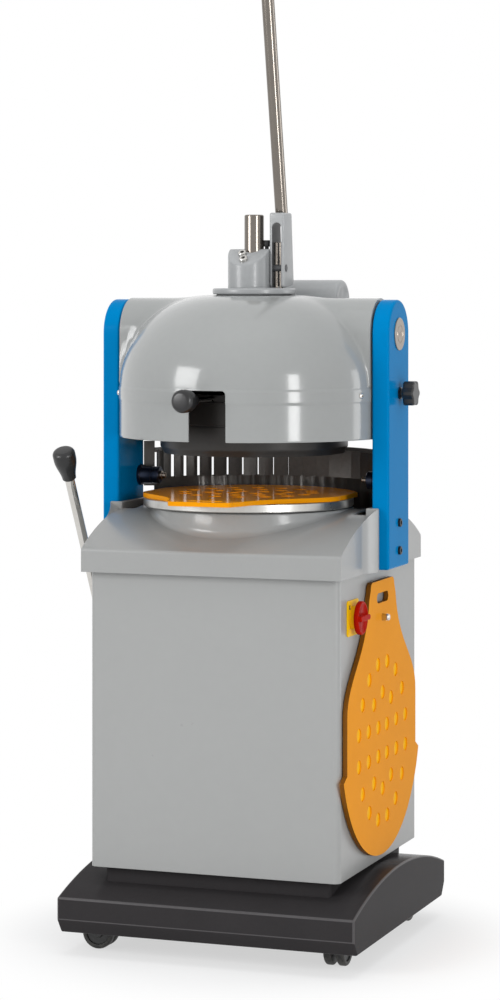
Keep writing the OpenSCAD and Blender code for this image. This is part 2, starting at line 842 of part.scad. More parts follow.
// Half outline of a moulding plate: +y towards the end of its handle
function half_plate(r, half, tip) = concat(
    arc([0, 0], r, -90, asin(shoulder_y / r), 24),
    [[half, shoulder_y + 12]],
    curve([half, bend_y], [half, bend_y + 80], [tip + 30, neck_y - 115], [tip + 9, neck_y], 12),
    arc([tip - corner_r, plate_handle - corner_r], corner_r, 0, 90, 6)
);

module plate_shape(r, half, tip, low) {
    right = half_plate(r, half, tip);
    left = [for (i = [len(right) - 1 : -1 : 0]) [-right[i][0], right[i][1]]];
    difference() {
        linear_extrude(plate_t) polygon(concat(right, left));
        for (ring = pocket_rings, i = [0 : ring[0] - 1])
            translate([0, -low, plate_t - pocket_d]) rotate([0, 0, (i + 0.5) * 360 / ring[0]])
            translate([ring[1] * r, 0, 0])
                cylinder(r = pocket_r, h = pocket_d + cut);
        translate([-slot_half, handle_slot_y - slot_r, -cut])
            cube([2 * slot_half, 2 * slot_r, plate_t + 2 * cut]);
        for (s = [-1, 1]) translate([s * slot_half, handle_slot_y, -cut])
            cylinder(r = slot_r, h = plate_t + 2 * cut);
        translate([0, peg_hole_y, -cut]) cylinder(r = peg_r + gap, h = plate_t + 2 * cut);
    }
}

module moulding_plate() {
    color(orange) translate([orbit[0], orbit[1], plate_z]) rotate([0, 0, 180])
        plate_shape(plate_r, plate_half_w, handle_half_w, 0);
}

module spare_plate() {
    color(orange) translate([cab_w / 2 + spare_gap, col_y, peg_z - peg_hole_y]) rotate([90, 0, 90])
        plate_shape(plate_r + spare_over, plate_half_w + spare_over - 26,
            handle_half_w + spare_handle_over, pocket_low);
}

module hanger_peg() {
    color(steel) {
        rod_x(cab_w / 2, cab_w / 2 + plate_t + 18, col_y, peg_z, peg_r);
        rod_x(cab_w / 2 - 12, cab_w / 2, col_y, peg_z, peg_r / 2);
    }
}

module switch_plate() {
    color([0.95, 0.8, 0.1]) difference() {
        union() {
            box([cab_w / 2, -switch_y - switch_w / 2, switch_z - switch_w / 2],
                [switch_face, -switch_y + switch_w / 2, switch_z + switch_w / 2]);
            rod_x(switch_face - cut, knob_face, -switch_y, switch_z, switch_r - 10);
        }
        rod_x(cab_w / 2 - cut, knob_face + cut, -switch_y, switch_z, switch_shaft_r + run);
    }
}

module switch_knob() {
    bar_w = 11;
    color([0.8, 0.1, 0.1]) {
        rod_x(cab_w / 2 - 12, knob_face + gap + 1, -switch_y, switch_z, switch_shaft_r);
        rod_x(knob_face + gap, knob_face + knob_t, -switch_y, switch_z, switch_r);
        box([knob_face + knob_t - 1, -switch_y - switch_r + 3, switch_z - bar_w / 2],
            [knob_face + knob_t + 6, -switch_y + switch_r - 3, switch_z + bar_w / 2]);
    }
}

module side_lever_bush() {
    color(steel) translate([-cab_w / 2, -side_y, side_z]) rotate([0, -90, 0]) difference() {
        union() {
            cylinder(r = side_rod_r + 14, h = 8);
            translate([0, 0, -cab_wall - 20]) cylinder(r = side_rod_r + 4, h = cab_wall + 20);
        }
        translate([0, 0, -cab_wall - 20 - cut]) cylinder(r = side_rod_r + run, h = cab_wall + 28 + 2 * cut);
    }
}

// A castor's fork: stem, hub and the web between its twin wheels
module castor_fork(i) {
    p = castor_places[i];
    web = wheel_gap / 2 - 1;
    color(dark) translate([p[0], p[1], 0]) rotate([0, 0, castor_turn[i]]) difference() {
        union() {
            translate([0, 0, boss_bottom - gap - 8]) cylinder(r = boss_r - 2, h = 8);
            translate([0, 0, boss_bottom - gap - 8]) cylinder(r = stem_r, h = 8 + gap + 43);
            along_x(-web, web) web_outline();
        }
        rod_x(-web - cut, web + cut, castor_trail, wheel_r, axle_r + run);
    }
}

// Side outline of the web: a round end at the axle and a straight neck to the hub
module web_outline() {
    translate([castor_trail, wheel_r]) circle(r = axle_r + 8);
    polygon([
        [castor_trail - axle_r - 8, wheel_r], [castor_trail + axle_r + 8, wheel_r],
        [castor_trail + axle_r, boss_bottom - gap - 4], [-axle_r - 4, boss_bottom - gap - 4]
    ]);
}

module castor_wheel(i) {
    p = castor_places[i];
    half = wheel_gap / 2;
    color(black) translate([p[0], p[1], wheel_r]) rotate([0, 0, castor_turn[i]])
    translate([0, castor_trail, 0]) {
        for (s = [-1, 1]) rotate([0, 90 * s, 0]) translate([0, 0, half]) wheel_shape();
        rotate([0, 90, 0]) translate([0, 0, -half - 1]) cylinder(r = axle_r, h = 2 * half + 2);
    }
}

// One wheel with a rounded tread and a dished hub
module wheel_shape() {
    round_r = 5;
    rotate_extrude() difference() {
        union() {
            square([wheel_r - round_r, wheel_w]);
            translate([0, round_r]) square([wheel_r, wheel_w - 2 * round_r]);
            for (z = [round_r, wheel_w - round_r]) translate([wheel_r - round_r, z]) circle(r = round_r);
        }
        translate([wheel_r * 0.35, wheel_w - 2]) square([wheel_r * 0.4, 3]);
    }
}

module castor_fork_fl() { castor_fork(0); }
module castor_fork_fr() { castor_fork(1); }
module castor_fork_rl() { castor_fork(2); }
module castor_fork_rr() { castor_fork(3); }
module castor_wheel_fl() { castor_wheel(0); }
module castor_wheel_fr() { castor_wheel(1); }
module castor_wheel_rl() { castor_wheel(2); }
module castor_wheel_rr() { castor_wheel(3); }

// Press head

// Half section of the dome, skirt and belt, set in by a wall or grown by a gap
module dome_section(inset) {
    r = dome_r - inset;
    shoulder = dome_r - shoulder_r;
    foot = inset > 0 ? cut : 0;
    translate([0, skirt_bottom - foot]) square([r, belt_top - skirt_bottom + foot]);
    translate([0, belt_top - cut]) square([shoulder, shoulder_r - inset + cut]);
    translate([shoulder, belt_top]) intersection() {
        circle(r = shoulder_r - inset, $fn = 200);
        square(shoulder_r + cut);
    }
}

// Raised belt between the dome and its skirt
module belt_section() {
    translate([dome_r - dome_wall, belt_top - belt_h]) square([dome_wall + belt_out, belt_h]);
}

// The space between the columns that the head may fill, set in by a wall
module head_space(inset) {
    box([-head_half + inset, -dome_r - 5, skirt_bottom - 2 * cut],
        [head_half - inset, dome_back - inset, dome_top + 2 * cut]);
}

module dome_cover() {
    notch_r = 8;
    notch_h = belt_top - skirt_bottom;
    color(grey) difference() {
        intersection() {
            rotate_extrude($fn = 200) union() {
                dome_section(0);
                belt_section();
            }
            head_space(0);
        }
        intersection() {
            rotate_extrude($fn = 200) dome_section(dome_wall);
            head_space(dome_wall);
        }
        translate([0, -dome_r + 40, 0]) rotate([90, 0, 0]) linear_extrude(60) union() {
            translate([-notch_w / 2, skirt_bottom - cut]) square([notch_w, notch_h - notch_r + cut]);
            translate([-notch_w / 2 + notch_r, skirt_bottom]) square([notch_w - 2 * notch_r, notch_h]);
            for (s = [-1, 1]) translate([s * (notch_w / 2 - notch_r), belt_top - notch_r])
                circle(r = notch_r);
        }
        translate([0, 0, dome_top - 2 * dome_wall]) cylinder(r = neck_out + gap, h = 4 * dome_wall);
        beam_space(cut);
        rod_x(drum_left - gap, drum_right + gap, drum_y, drum_z, drum_r + gap);
        for (s = [-1, 1]) dome_screw_place(s)
            cylinder(r = dome_screw_r + run, h = 4 * dome_wall, center = true);
    }
}

// Screws on the front of the belt, near its ends
module dome_screw_place(side) {
    rotate([0, 0, side * dome_screw_turn]) translate([0, -dome_r - belt_out, dome_screw_z])
        rotate([90, 0, 0]) children();
}

module dome_screws() {
    color(steel) for (s = [-1, 1]) dome_screw_place(s) {
        cylinder(r = 2 * dome_screw_r, h = 2);
        translate([0, 0, -2 * dome_wall]) cylinder(r = dome_screw_r, h = 2 * dome_wall + 1);
    }
}

module beam_space(grow) {
    box([-head_half - grow, col_y - beam_half_d - grow, pivot_z - beam_half_h - grow],
        [head_half + grow, col_y + beam_half_d + grow, pivot_z + beam_half_h + grow]);
}

// Beam that hangs on the two pivot pins and guides the ram rod
module head_beam() {
    bore_in = col_in - 34;
    color(dark) difference() {
        box([-head_half + beam_end, col_y - beam_half_d, pivot_z - beam_half_h],
            [head_half - beam_end, col_y + beam_half_d, pivot_z + beam_half_h]);
        for (s = [-1, 1]) translate([s * bore_in, col_y, pivot_z]) rotate([0, 90 * s, 0])
            cylinder(r = pivot_r + run, h = 60);
        translate([0, 0, pivot_z - 2 * beam_half_h]) cylinder(r = rod_r + run, h = 4 * beam_half_h);
    }
}

// Cast block with its flange on the dome and its neck down to the beam
module head_block() {
    slope = 37;
    front_r = (block_left + block_right) / 2;
    front_x = (block_right - block_left) / 2;
    color(grey) difference() {
        union() {
            translate([0, 0, pivot_z + beam_half_h])
                cylinder(r = neck_out, h = flange_top - pivot_z - beam_half_h);
            translate([0, 0, dome_top]) cylinder(r = flange_r - 8, h = flange_top - dome_top);
            translate([0, 0, flange_top - flange_t]) cylinder(r = flange_r, h = flange_t);
            box([-block_left, -block_front, flange_top - cut], [block_right, block_back, block_top]);
            translate([front_x, -block_front, flange_top - cut])
                cylinder(r = front_r, h = block_top - flange_top + cut);
        }
        translate([0, 0, pivot_z]) cylinder(r = rod_r + run, h = rod_top - pivot_z);
        translate([front_x, -block_front, block_top]) rotate([slope, 0, 0])
            translate([-2 * front_r, -3 * front_r, 0]) cube([4 * front_r, 3 * front_r, 3 * front_r]);
    }
}

module saddle_cover() {
    side_bottom = belt_top;
    color(grey) difference() {
        along_x(-head_half, head_half) difference() {
            union() {
                translate([col_y, pivot_z]) circle(r = saddle_r);
                translate([col_y - saddle_r, side_bottom]) square([2 * saddle_r, pivot_z - side_bottom]);
            }
            translate([col_y, pivot_z]) circle(r = saddle_r - dome_wall);
            translate([col_y - saddle_r + dome_wall, side_bottom - cut])
                square([2 * (saddle_r - dome_wall), pivot_z - side_bottom + cut]);
            translate([col_y - 2 * saddle_r, side_bottom - 2 * saddle_r])
                square([4 * saddle_r, 2 * saddle_r]);
        }
        rotate_extrude($fn = 200) dome_section(-gap);
        translate([0, 0, pivot_z]) cylinder(r = flange_r + 50, h = 2 * saddle_r);
    }
}

// Drum behind the saddle, with a foot on the beam
module spring_drum() {
    cap_t = 5;
    foot_x = [60, 118];
    foot_t = 12;
    color(grey) difference() {
        union() {
            rod_x(drum_left, drum_right, drum_y, drum_z, drum_r);
            box([foot_x[0], col_y + beam_half_d, pivot_z + beam_half_h - foot_t],
                [foot_x[1], drum_y, pivot_z + beam_half_h]);
        }
        rod_x(drum_left + cap_t, drum_right - cap_t, drum_y, drum_z, drum_r - cap_t);
    }
}

// Two posts on the flange and the fulcrum pin that they carry
module lever_posts() {
    color(steel) {
        for (s = [-1, 1]) translate([lever_x + s * post_dx, fulcrum_y, flange_top])
            cylinder(r = post_r, h = post_top - flange_top);
        rod_x(lever_x - socket_w / 2, lever_x + socket_w / 2 + 1, fulcrum_y, fulcrum_z, fulcrum_r);
    }
}

// Point where the tube's axis meets the socket's upper end
module on_lever() {
    translate([lever_x, tube_y, socket_top]) rotate([lever_lean, 0, 0]) children();
}

module lever_socket() {
    back_top = tube_y + lever_r + 6;
    back_low = back_top + (socket_top - fulcrum_z) * tan(lever_lean) * 0.6;
    low = fulcrum_z - 38;
    slot_top = socket_top - tube_seat - slot_x / 2 - 4;
    color(grey) difference() {
        along_x(lever_x - socket_w / 2, lever_x + socket_w / 2) polygon(concat(
            [[socket_front, socket_top], [back_top, socket_top]],
            [[back_low, low + 14], [back_low - 16, low + 2]],
            arc([fulcrum_y, fulcrum_z], 40, -80, -108, 4), [[socket_front, low + 4]]
        ));
        box([lever_x - slot_x / 2, socket_front - cut, low - 10],
            [lever_x + slot_x / 2, back_low + cut, slot_top]);
        translate([lever_x, socket_front - cut, slot_top]) rotate([-90, 0, 0])
            cylinder(r = slot_x / 2, h = 80);
        rod_x(lever_x - socket_w, lever_x + socket_w, fulcrum_y, fulcrum_z, fulcrum_r + run);
        on_lever() translate([0, 0, -tube_seat]) cylinder(r = lever_r, h = tube_seat + 20);
    }
}

module lever_tube() {
    tube_wall = 2.5;
    color(steel) on_lever() translate([0, 0, -tube_seat])
        tube(lever_r, lever_r - tube_wall, lever_len + tube_seat);
}

module lever_grip() {
    top_grip_len = 110;
    top_grip_r = lever_r + 4;
    color(black) on_lever() translate([0, 0, lever_len]) rotate_extrude() difference() {
        union() {
            translate([0, -top_grip_len]) square([top_grip_r, top_grip_len]);
            intersection() {
                circle(r = top_grip_r);
                square(top_grip_r);
            }
        }
        translate([0, -top_grip_len - cut]) square([lever_r, top_grip_len + cut]);
    }
}

// Press: ram rod, carrier, ring, stamps and knives
module ram_rod() {
    chamfer = 2;
    color(steel) translate([0, 0, carrier_z + carrier_t]) rotate_extrude() polygon([
        [0, 0], [rod_r, 0], [rod_r, rod_top - carrier_z - carrier_t - chamfer],
        [rod_r - chamfer, rod_top - carrier_z - carrier_t], [0, rod_top - carrier_z - carrier_t]
    ]);
}

module press_carrier() {
    hub_h = 26;
    color(black) translate([0, 0, carrier_z]) difference() {
        union() {
            cylinder(r = ring_r, h = carrier_t, $fn = 200);
            cylinder(r = selector_in - gap, h = carrier_t + selector_t / 2, $fn = 200);
            cylinder(r = rod_r + 14, h = carrier_t + hub_h);
        }
        translate([0, 0, carrier_t]) cylinder(r = rod_r, h = hub_h + cut);
        translate([0, 0, carrier_t]) tube(selector_in - 20, rod_r + 14, selector_t);
    }
}

module pressing_ring() {
    chamfer = 12;
    color(black) rotate_extrude($fn = 200) polygon([
        [ring_r - ring_wall, ring_bottom], [ring_r - ring_wall + 1, ring_bottom],
        [ring_r, ring_bottom + chamfer], [ring_r, carrier_z], [ring_r - ring_wall, carrier_z]
    ]);
}

// Plan of the knives: two rings and straight blades between them
module knife_plan(t) {
    radii = concat([0], ring_radii, [stamp_r + cut]);
    for (r = ring_radii) difference() {
        circle(r = r + t / 2);
        circle(r = r - t / 2);
    }
    for (k = [0 : 2], i = [0 : ring_counts[k] - 1]) rotate(i * 360 / ring_counts[k])
        translate([radii[k], -t / 2]) square([radii[k + 1] - radii[k], t]);
}

// Stamps between the knives, each on a rod up to the carrier
module stamps() {
    color([0.85, 0.85, 0.82]) {
        translate([0, 0, stamp_z]) linear_extrude(stamp_t) difference() {
            circle(r = stamp_r, $fn = 200);
            knife_plan(knife_t + 2 * knife_gap);
        }
        for (p = stamp_places) translate([p[0], p[1], stamp_z + stamp_t - cut])
            cylinder(r = stamp_rod_r, h = carrier_z - stamp_z - stamp_t + cut);
    }
}

module knife_grid() {
    color(steel) translate([0, 0, knife_bottom]) {
        linear_extrude(knife_h) intersection() {
            knife_plan(knife_t);
            circle(r = stamp_r - 1);
        }
        translate([0, 0, knife_h]) linear_extrude(knife_plate_t) difference() {
            circle(r = stamp_r - 1, $fn = 200);
            for (p = stamp_places) translate(p) circle(r = stamp_rod_r + gap);
        }
    }
}

// Front handle: a ring that turns on the carrier, with a stem and a grip in the dome's notch
module on_handle() {
    rotate([0, 0, -handle_turn]) translate([0, 0, handle_z]) rotate([90, 0, 0]) children();
}

module selector_ring() {
    color(black) difference() {
        translate([0, 0, carrier_z + carrier_t + gap]) tube(selector_r, selector_in, selector_t);
        on_handle() translate([0, 0, selector_r - stem_seat]) cylinder(r = handle_stem_r, h = 2 * stem_seat);
    }
}

module front_handle_stem() {
    color(steel) on_handle() translate([0, 0, selector_r - stem_seat])
        cylinder(r = handle_stem_r, h = grip_from + 20 - selector_r + stem_seat);
}

// A pear-shaped grip along +z, with a bore for its stem
module grip_shape(length, bore_r) {
    neck = bore_r + 4;
    crown = 8;
    rotate_extrude() difference() {
        union() {
            polygon(concat([[0, 0], [neck, 0]],
                [for (i = [1 : 8]) let (t = i / 8, swell = (1 - cos(180 * t)) / 2)
                    [neck + (grip_r - neck) * swell, (length - 2 * crown) * t]],
                [[grip_r, length - crown], [0, length - crown]]));
            translate([0, length - crown - cut]) square([grip_r - crown, crown + cut]);
            translate([grip_r - crown, length - crown]) circle(r = crown);
        }
        translate([0, -cut]) square([bore_r, 20 + cut]);
    }
}

module front_handle_grip() {
    color(black) on_handle() translate([0, 0, grip_from]) grip_shape(grip_len, handle_stem_r);
}

module star_knob() {
    lobes = 6;
    lobe_r = 7;
    knob_r = 27;
    head_t = 24;
    x0 = col_in + col_t + gap;
    color(black) translate([0, knob_y, knob_z]) {
        rod_x(head_half + 1, x0 + 14, 0, 0, knob_stem_r);
        rod_x(x0, x0 + 4, 0, 0, 2 * knob_stem_r);
        rod_x(x0 + 3, x0 + 12, 0, 0, knob_stem_r + 4);
        rod_x(x0 + 11, x0 + 11 + head_t, 0, 0, knob_r - lobe_r + 1);
        for (i = [0 : lobes - 1]) rotate([360 / lobes * i, 0, 0])
            rod_x(x0 + 11, x0 + 11 + head_t, knob_r - lobe_r, 0, lobe_r);
    }
}

// Side lever: shaft, hub and leaning rod, then its grip
module on_side_lever() {
    translate([-side_x, -side_y, side_z]) rotate([side_lean, 0, 0]) children();
}

module side_lever_rod() {
    hub_r = side_rod_r + 10;
    color(steel) {
        rod_x(-side_x - 12, -side_x + 12, -side_y, side_z, hub_r);
        rod_x(-side_x, -cab_w / 2 + 16, -side_y, side_z, side_rod_r);
        on_side_lever() cylinder(r = side_rod_r, h = side_len);
    }
}

module side_lever_grip() {
    color(black) on_side_lever() translate([0, 0, side_len - 20]) grip_shape(grip_len, side_rod_r);
}

base_shell();
plinth();
cabinet_shell();
rear_panel();
panel_screws();
cable_gland();
bed_plate();
top_cover();
left_column();
right_column();
column_screws();
pivot_pins();
rear_guard();
column_buffers();
motor();
motor_bracket();
bearing_housing();
drive_belt();
switch_plate();
hanger_peg();
side_lever_bush();
castor_fork_fl();
castor_fork_fr();
castor_fork_rl();
castor_fork_rr();
castor_wheel_fl();
castor_wheel_fr();
castor_wheel_rl();
castor_wheel_rr();
eccentric_shaft();
driven_pulley();
motor_pulley();
idler_crank_left();
idler_crank_right();
table_disc();
table_hub();
moulding_plate();
spare_plate();
head_beam();
head_block();
dome_cover();
saddle_cover();
dome_screws();
spring_drum();
lever_posts();
lever_socket();
lever_tube();
lever_grip();
ram_rod();
press_carrier();
pressing_ring();
stamps();
knife_grid();
selector_ring();
front_handle_stem();
front_handle_grip();
star_knob();
switch_knob();
side_lever_rod();
side_lever_grip();
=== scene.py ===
"""Looks of a bakery divider rounder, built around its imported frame. Metres, +Z up, front towards -Y."""

from __future__ import annotations

import json
import logging
import math
from dataclasses import dataclass
from enum import Enum
from functools import cache, cached_property
from typing import Any, Callable, Iterable, Sequence

import bpy
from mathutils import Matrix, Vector


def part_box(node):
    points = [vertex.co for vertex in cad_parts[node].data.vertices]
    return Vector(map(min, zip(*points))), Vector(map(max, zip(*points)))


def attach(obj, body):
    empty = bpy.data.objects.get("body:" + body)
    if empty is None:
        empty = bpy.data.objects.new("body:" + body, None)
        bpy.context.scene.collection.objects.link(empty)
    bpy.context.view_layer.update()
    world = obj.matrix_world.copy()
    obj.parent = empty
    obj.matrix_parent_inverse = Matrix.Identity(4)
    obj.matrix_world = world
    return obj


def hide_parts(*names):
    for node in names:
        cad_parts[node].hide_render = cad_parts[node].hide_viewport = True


LOG = logging.getLogger("divider_rounder")
Flat = tuple[float, float]
Triple = tuple[float, float, float]
Piece = bpy.types.Object
Numbers = Sequence[float]
PointRule = Callable[[Vector], Vector]
FaceRule = Callable[[bpy.types.MeshPolygon], bool]

ORIGIN = (0, 0, 0)
ALONG_X = (1, 0, 0)
ALONG_Y = (0, 1, 0)
ALONG_Z = (0, 0, 1)
LEFT_RIGHT = (-1, 1)
# Points this near are merged, columns get this gap, and cutters stand out this far.
WELD = 1e-6
GAP = 0.0003
CLEAR = 0.01
TABLE_AT = (-0.01195, -0.00105)


class Axis(Enum):
    """The direction that an outline is drawn out along."""

    X = 0
    Y = 1
    Z = 2

    def point(self, a: float, b: float, along: float) -> Vector:
        """The point in space of an outline's two coordinates and a place along the axis."""
        return Vector([(along, a, b), (a, along, b), (a, b, along)][self.value])

    @property
    def vector(self) -> Vector:
        """The axis as a unit vector."""
        return Vector([float(self.value == i) for i in range(3)])


def arc(centre: Flat, radius: float, start: float, end: float, steps: int) -> list[Flat]:
    """Lists points on an arc between two angles in degrees, both ends included."""
    angles = [math.radians(start + (end - start) * i / steps) for i in range(steps + 1)]
    return [(centre[0] + radius * math.cos(a), centre[1] + radius * math.sin(a)) for a in angles]


def rounded_box(lo: Flat, hi: Flat, radius: float, steps: int = 6) -> list[Flat]:
    """Lists the points of a rectangle with round corners.

    Args:
        lo: Lowest corner.
        hi: Highest corner.
        radius: Corner radius.
        steps: Steps in each corner.

    Returns:
        The outline, anticlockwise.
    """
    right, left, top, low = hi[0] - radius, lo[0] + radius, hi[1] - radius, lo[1] + radius
    corners = ((right, top), (left, top), (left, low), (right, low))
    return [p for i, c in enumerate(corners) for p in arc(c, radius, 90 * i, 90 * i + 90, steps)]


class Bench:
    """Hand tools: Blender's operators, each used on one piece at a time."""

    @staticmethod
    def clear() -> None:
        """Leaves edit mode and deselects everything."""
        if bpy.context.mode != "OBJECT":
            bpy.ops.object.mode_set(mode="OBJECT")
        bpy.ops.object.select_all(action="DESELECT")

    @staticmethod
    def hold(piece: Piece) -> None:
        """Selects one piece alone and makes it active.

        Args:
            piece: The piece to hold.
        """
        Bench.clear()
        piece.select_set(True)
        bpy.context.view_layer.objects.active = piece

    @staticmethod
    def edit(piece: Piece, kind: str = "FACE") -> None:
        """Opens a piece in edit mode with everything selected.

        Args:
            piece: The piece to open.
            kind: What is selected: FACE or VERT.
        """
        Bench.hold(piece)
        bpy.ops.object.mode_set(mode="EDIT")
        bpy.ops.mesh.select_mode(type=kind)
        bpy.ops.mesh.select_all(action="SELECT")

    @staticmethod
    def close(outward: bool = True) -> None:
        """Leaves edit mode.

        Args:
            outward: Whether the faces are turned outwards first.
        """
        if outward:
            bpy.ops.mesh.select_all(action="SELECT")
            bpy.ops.mesh.normals_make_consistent(inside=False)
        bpy.ops.object.mode_set(mode="OBJECT")

    @staticmethod
    def ring(name: str, points: Sequence[Vector]) -> Piece:
        """Adds a circle and puts its vertices on an outline.

        Args:
            name: Name of the new piece.
            points: The closed outline's points.

        Returns:
            A piece with edges only.
        """
        Bench.clear()
        bpy.ops.mesh.primitive_circle_add(vertices=len(points), radius=1.0)
        piece = bpy.context.object
        piece.name = name
        for vertex, point in zip(piece.data.vertices, points):
            vertex.co = point
        return piece

    @staticmethod
    def prism(name: str, outline: Sequence[Flat], axis: Axis, lo: float, hi: float) -> Piece:
        """Fills an outline and extrudes it.

        Args:
            name: Name of the new piece.
            outline: Points across the axis.
            axis: Direction of the extrusion.
            lo: Where it starts.
            hi: Where it ends.

        Returns:
            The closed prism.
        """
        piece = Bench.ring(name, [axis.point(a, b, lo) for a, b in outline])
        Bench.edit(piece)
        bpy.ops.mesh.edge_face_add()
        bpy.ops.mesh.extrude_region_move(TRANSFORM_OT_translate={"value": axis.vector * (hi - lo)})
        Bench.close()
        return piece

    @staticmethod
    def lathe(name: str, section: Sequence[Flat], foot: Numbers, axis: Numbers, steps: int) -> Piece:
        """Spins a closed section about an axis.

        Args:
            name: Name of the new piece.
            section: Points as radius and height along the axis.
            foot: Point on the axis at height 0.
            axis: Direction of the axis.
            steps: Steps in the full turn.

        Returns:
            The turned piece.
        """
        base, line = Vector(foot), Vector(axis).normalized()
        side = Axis.X.vector if abs(line.z) > 0.999 else line.orthogonal().normalized()
        piece = Bench.ring(name, [base + line * h + side * r for r, h in section])
        Bench.edit(piece, "VERT")
        bpy.ops.mesh.spin(steps=steps, angle=math.tau, center=base, axis=line, use_auto_merge=True)
        bpy.ops.mesh.select_all(action="SELECT")
        bpy.ops.mesh.remove_doubles(threshold=WELD)
        bpy.ops.mesh.delete_loose()
        Bench.close()
        return piece

    @staticmethod
    def rod(
        name: str, start: Numbers, end: Numbers, radius: float, edge: float = 0.0005, steps: int = 32
    ) -> Piece:
        """Turns a round bar with broken edges.

        Args:
            name: Name of the new piece.
            start: Middle of one end.
            end: Middle of the other end.
            radius: Radius of the bar.
            edge: Size of the broken edges.
            steps: Steps in the full turn.

        Returns:
            The bar.
        """
        line = Vector(end) - Vector(start)
        long, neck = line.length, radius - edge
        section = [(0, 0), (neck, 0), (radius, edge), (radius, long - edge), (neck, long), (0, long)]
        return Bench.lathe(name, section, start, line, steps)

    @staticmethod
    def block(name: str, lo: Numbers, hi: Numbers) -> Piece:
        """Adds a cube at its size and place, ready to be shaped.

        Args:
            name: Name of the new piece.
            lo: Lowest corner.
            hi: Highest corner.

        Returns:
            The block.
        """
        Bench.clear()
        low, high = Vector(lo), Vector(hi)
        bpy.ops.mesh.primitive_cube_add(size=1.0, location=(low + high) / 2, scale=high - low)
        bpy.ops.object.transform_apply(location=True, rotation=True, scale=True)
        piece = bpy.context.object
        piece.name = name
        return piece

    @staticmethod
    def apply(piece: Piece, kind: str, **settings: Any) -> None:
        """Adds a modifier, sets it and applies it.

        Args:
            piece: The piece to change.
            kind: Blender's name of the modifier.
            **settings: The modifier's settings.
        """
        modifier = piece.modifiers.new("step", kind)
        for key, value in settings.items():
            setattr(modifier, key, value)
        Bench.hold(piece)
        bpy.ops.object.modifier_apply(modifier=modifier.name)

    @staticmethod
    def round(piece: Piece, width: float, segments: int = 3, angle: float = 30.0) -> None:
        """Rounds a piece's sharp edges and evens out its shading.

        Args:
            piece: The piece to change.
            width: Width of the rounding.
            segments: Steps across the rounding.
            angle: Least angle of an edge that is rounded, in degrees.
        """
        limit = math.radians(angle)
        Bench.apply(piece, "BEVEL", width=width, segments=segments, limit_method="ANGLE", angle_limit=limit)
        Bench.smooth(piece)
        Bench.apply(piece, "WEIGHTED_NORMAL", keep_sharp=True)

    @staticmethod
    def smooth(piece: Piece, angle: float = 38.0) -> Piece:
        """Shades a piece smooth, apart from its sharp edges.

        Args:
            piece: The piece to shade.
            angle: Least angle of a sharp edge, in degrees.

        Returns:
            The same piece.
        """
        Bench.hold(piece)
        bpy.ops.object.shade_smooth_by_angle(angle=math.radians(angle))
        return piece

    @staticmethod
    def cut(piece: Piece, *cutters: Piece) -> Piece:
        """Cuts other pieces out of a piece and removes them.

        Args:
            piece: The piece to cut.
            *cutters: What is cut out, in order.

        Returns:
            The same piece.
        """
        for cutter in cutters:
            Bench.apply(piece, "BOOLEAN", operation="DIFFERENCE", solver="EXACT", object=cutter)
            bpy.data.objects.remove(cutter)
        return piece

    @staticmethod
    def bisect(piece: Piece, point: Numbers, normal: Numbers) -> None:
        """Cuts off what lies beyond a plane and closes the cut.

        Args:
            piece: The piece to cut.
            point: A point of the plane.
            normal: Its normal, towards what is cut off.
        """
        Bench.edit(piece)
        bpy.ops.mesh.bisect(plane_co=point, plane_no=normal, use_fill=True, clear_outer=True)
        Bench.close(outward=False)

    @staticmethod
    def join(name: str, pieces: Sequence[Piece]) -> Piece:
        """Joins pieces into one mesh.

        Args:
            name: Name of the whole.
            pieces: One piece or more.

        Returns:
            The whole.
        """
        Bench.hold(pieces[0])
        for piece in pieces[1:]:
            piece.select_set(True)
        if len(pieces) > 1:
            bpy.ops.object.join()
        pieces[0].name = name
        return pieces[0]

    @staticmethod
    def move(piece: Piece, change: PointRule) -> None:
        """Moves each vertex of a piece.

        Args:
            piece: The piece to change.
            change: Rule from a vertex's old place to its new one.
        """
        for vertex in piece.data.vertices:
            vertex.co = change(vertex.co.copy())
        piece.data.update()

    @staticmethod
    def softened(node: str, name: str, width: float, segments: int = 2) -> Piece:
        """Copies a frame node's shape, merges its triangles and rounds its edges.

        Args:
            node: The frame's node.
            name: Name of the new piece.
            width: Width of the rounding.
            segments: Steps across the rounding.

        Returns:
            The softened copy.
        """
        Bench.clear()
        piece = bpy.data.objects.new(name, FRAME["nodes"][node].data.copy())
        bpy.context.scene.collection.objects.link(piece)
        Bench.edit(piece, "VERT")
        bpy.ops.mesh.remove_doubles(threshold=WELD)
        bpy.ops.mesh.customdata_custom_splitnormals_clear()
        bpy.ops.mesh.dissolve_limited(angle_limit=math.radians(0.5))
        Bench.close(outward=False)
        Bench.round(piece, width, segments)
        return piece


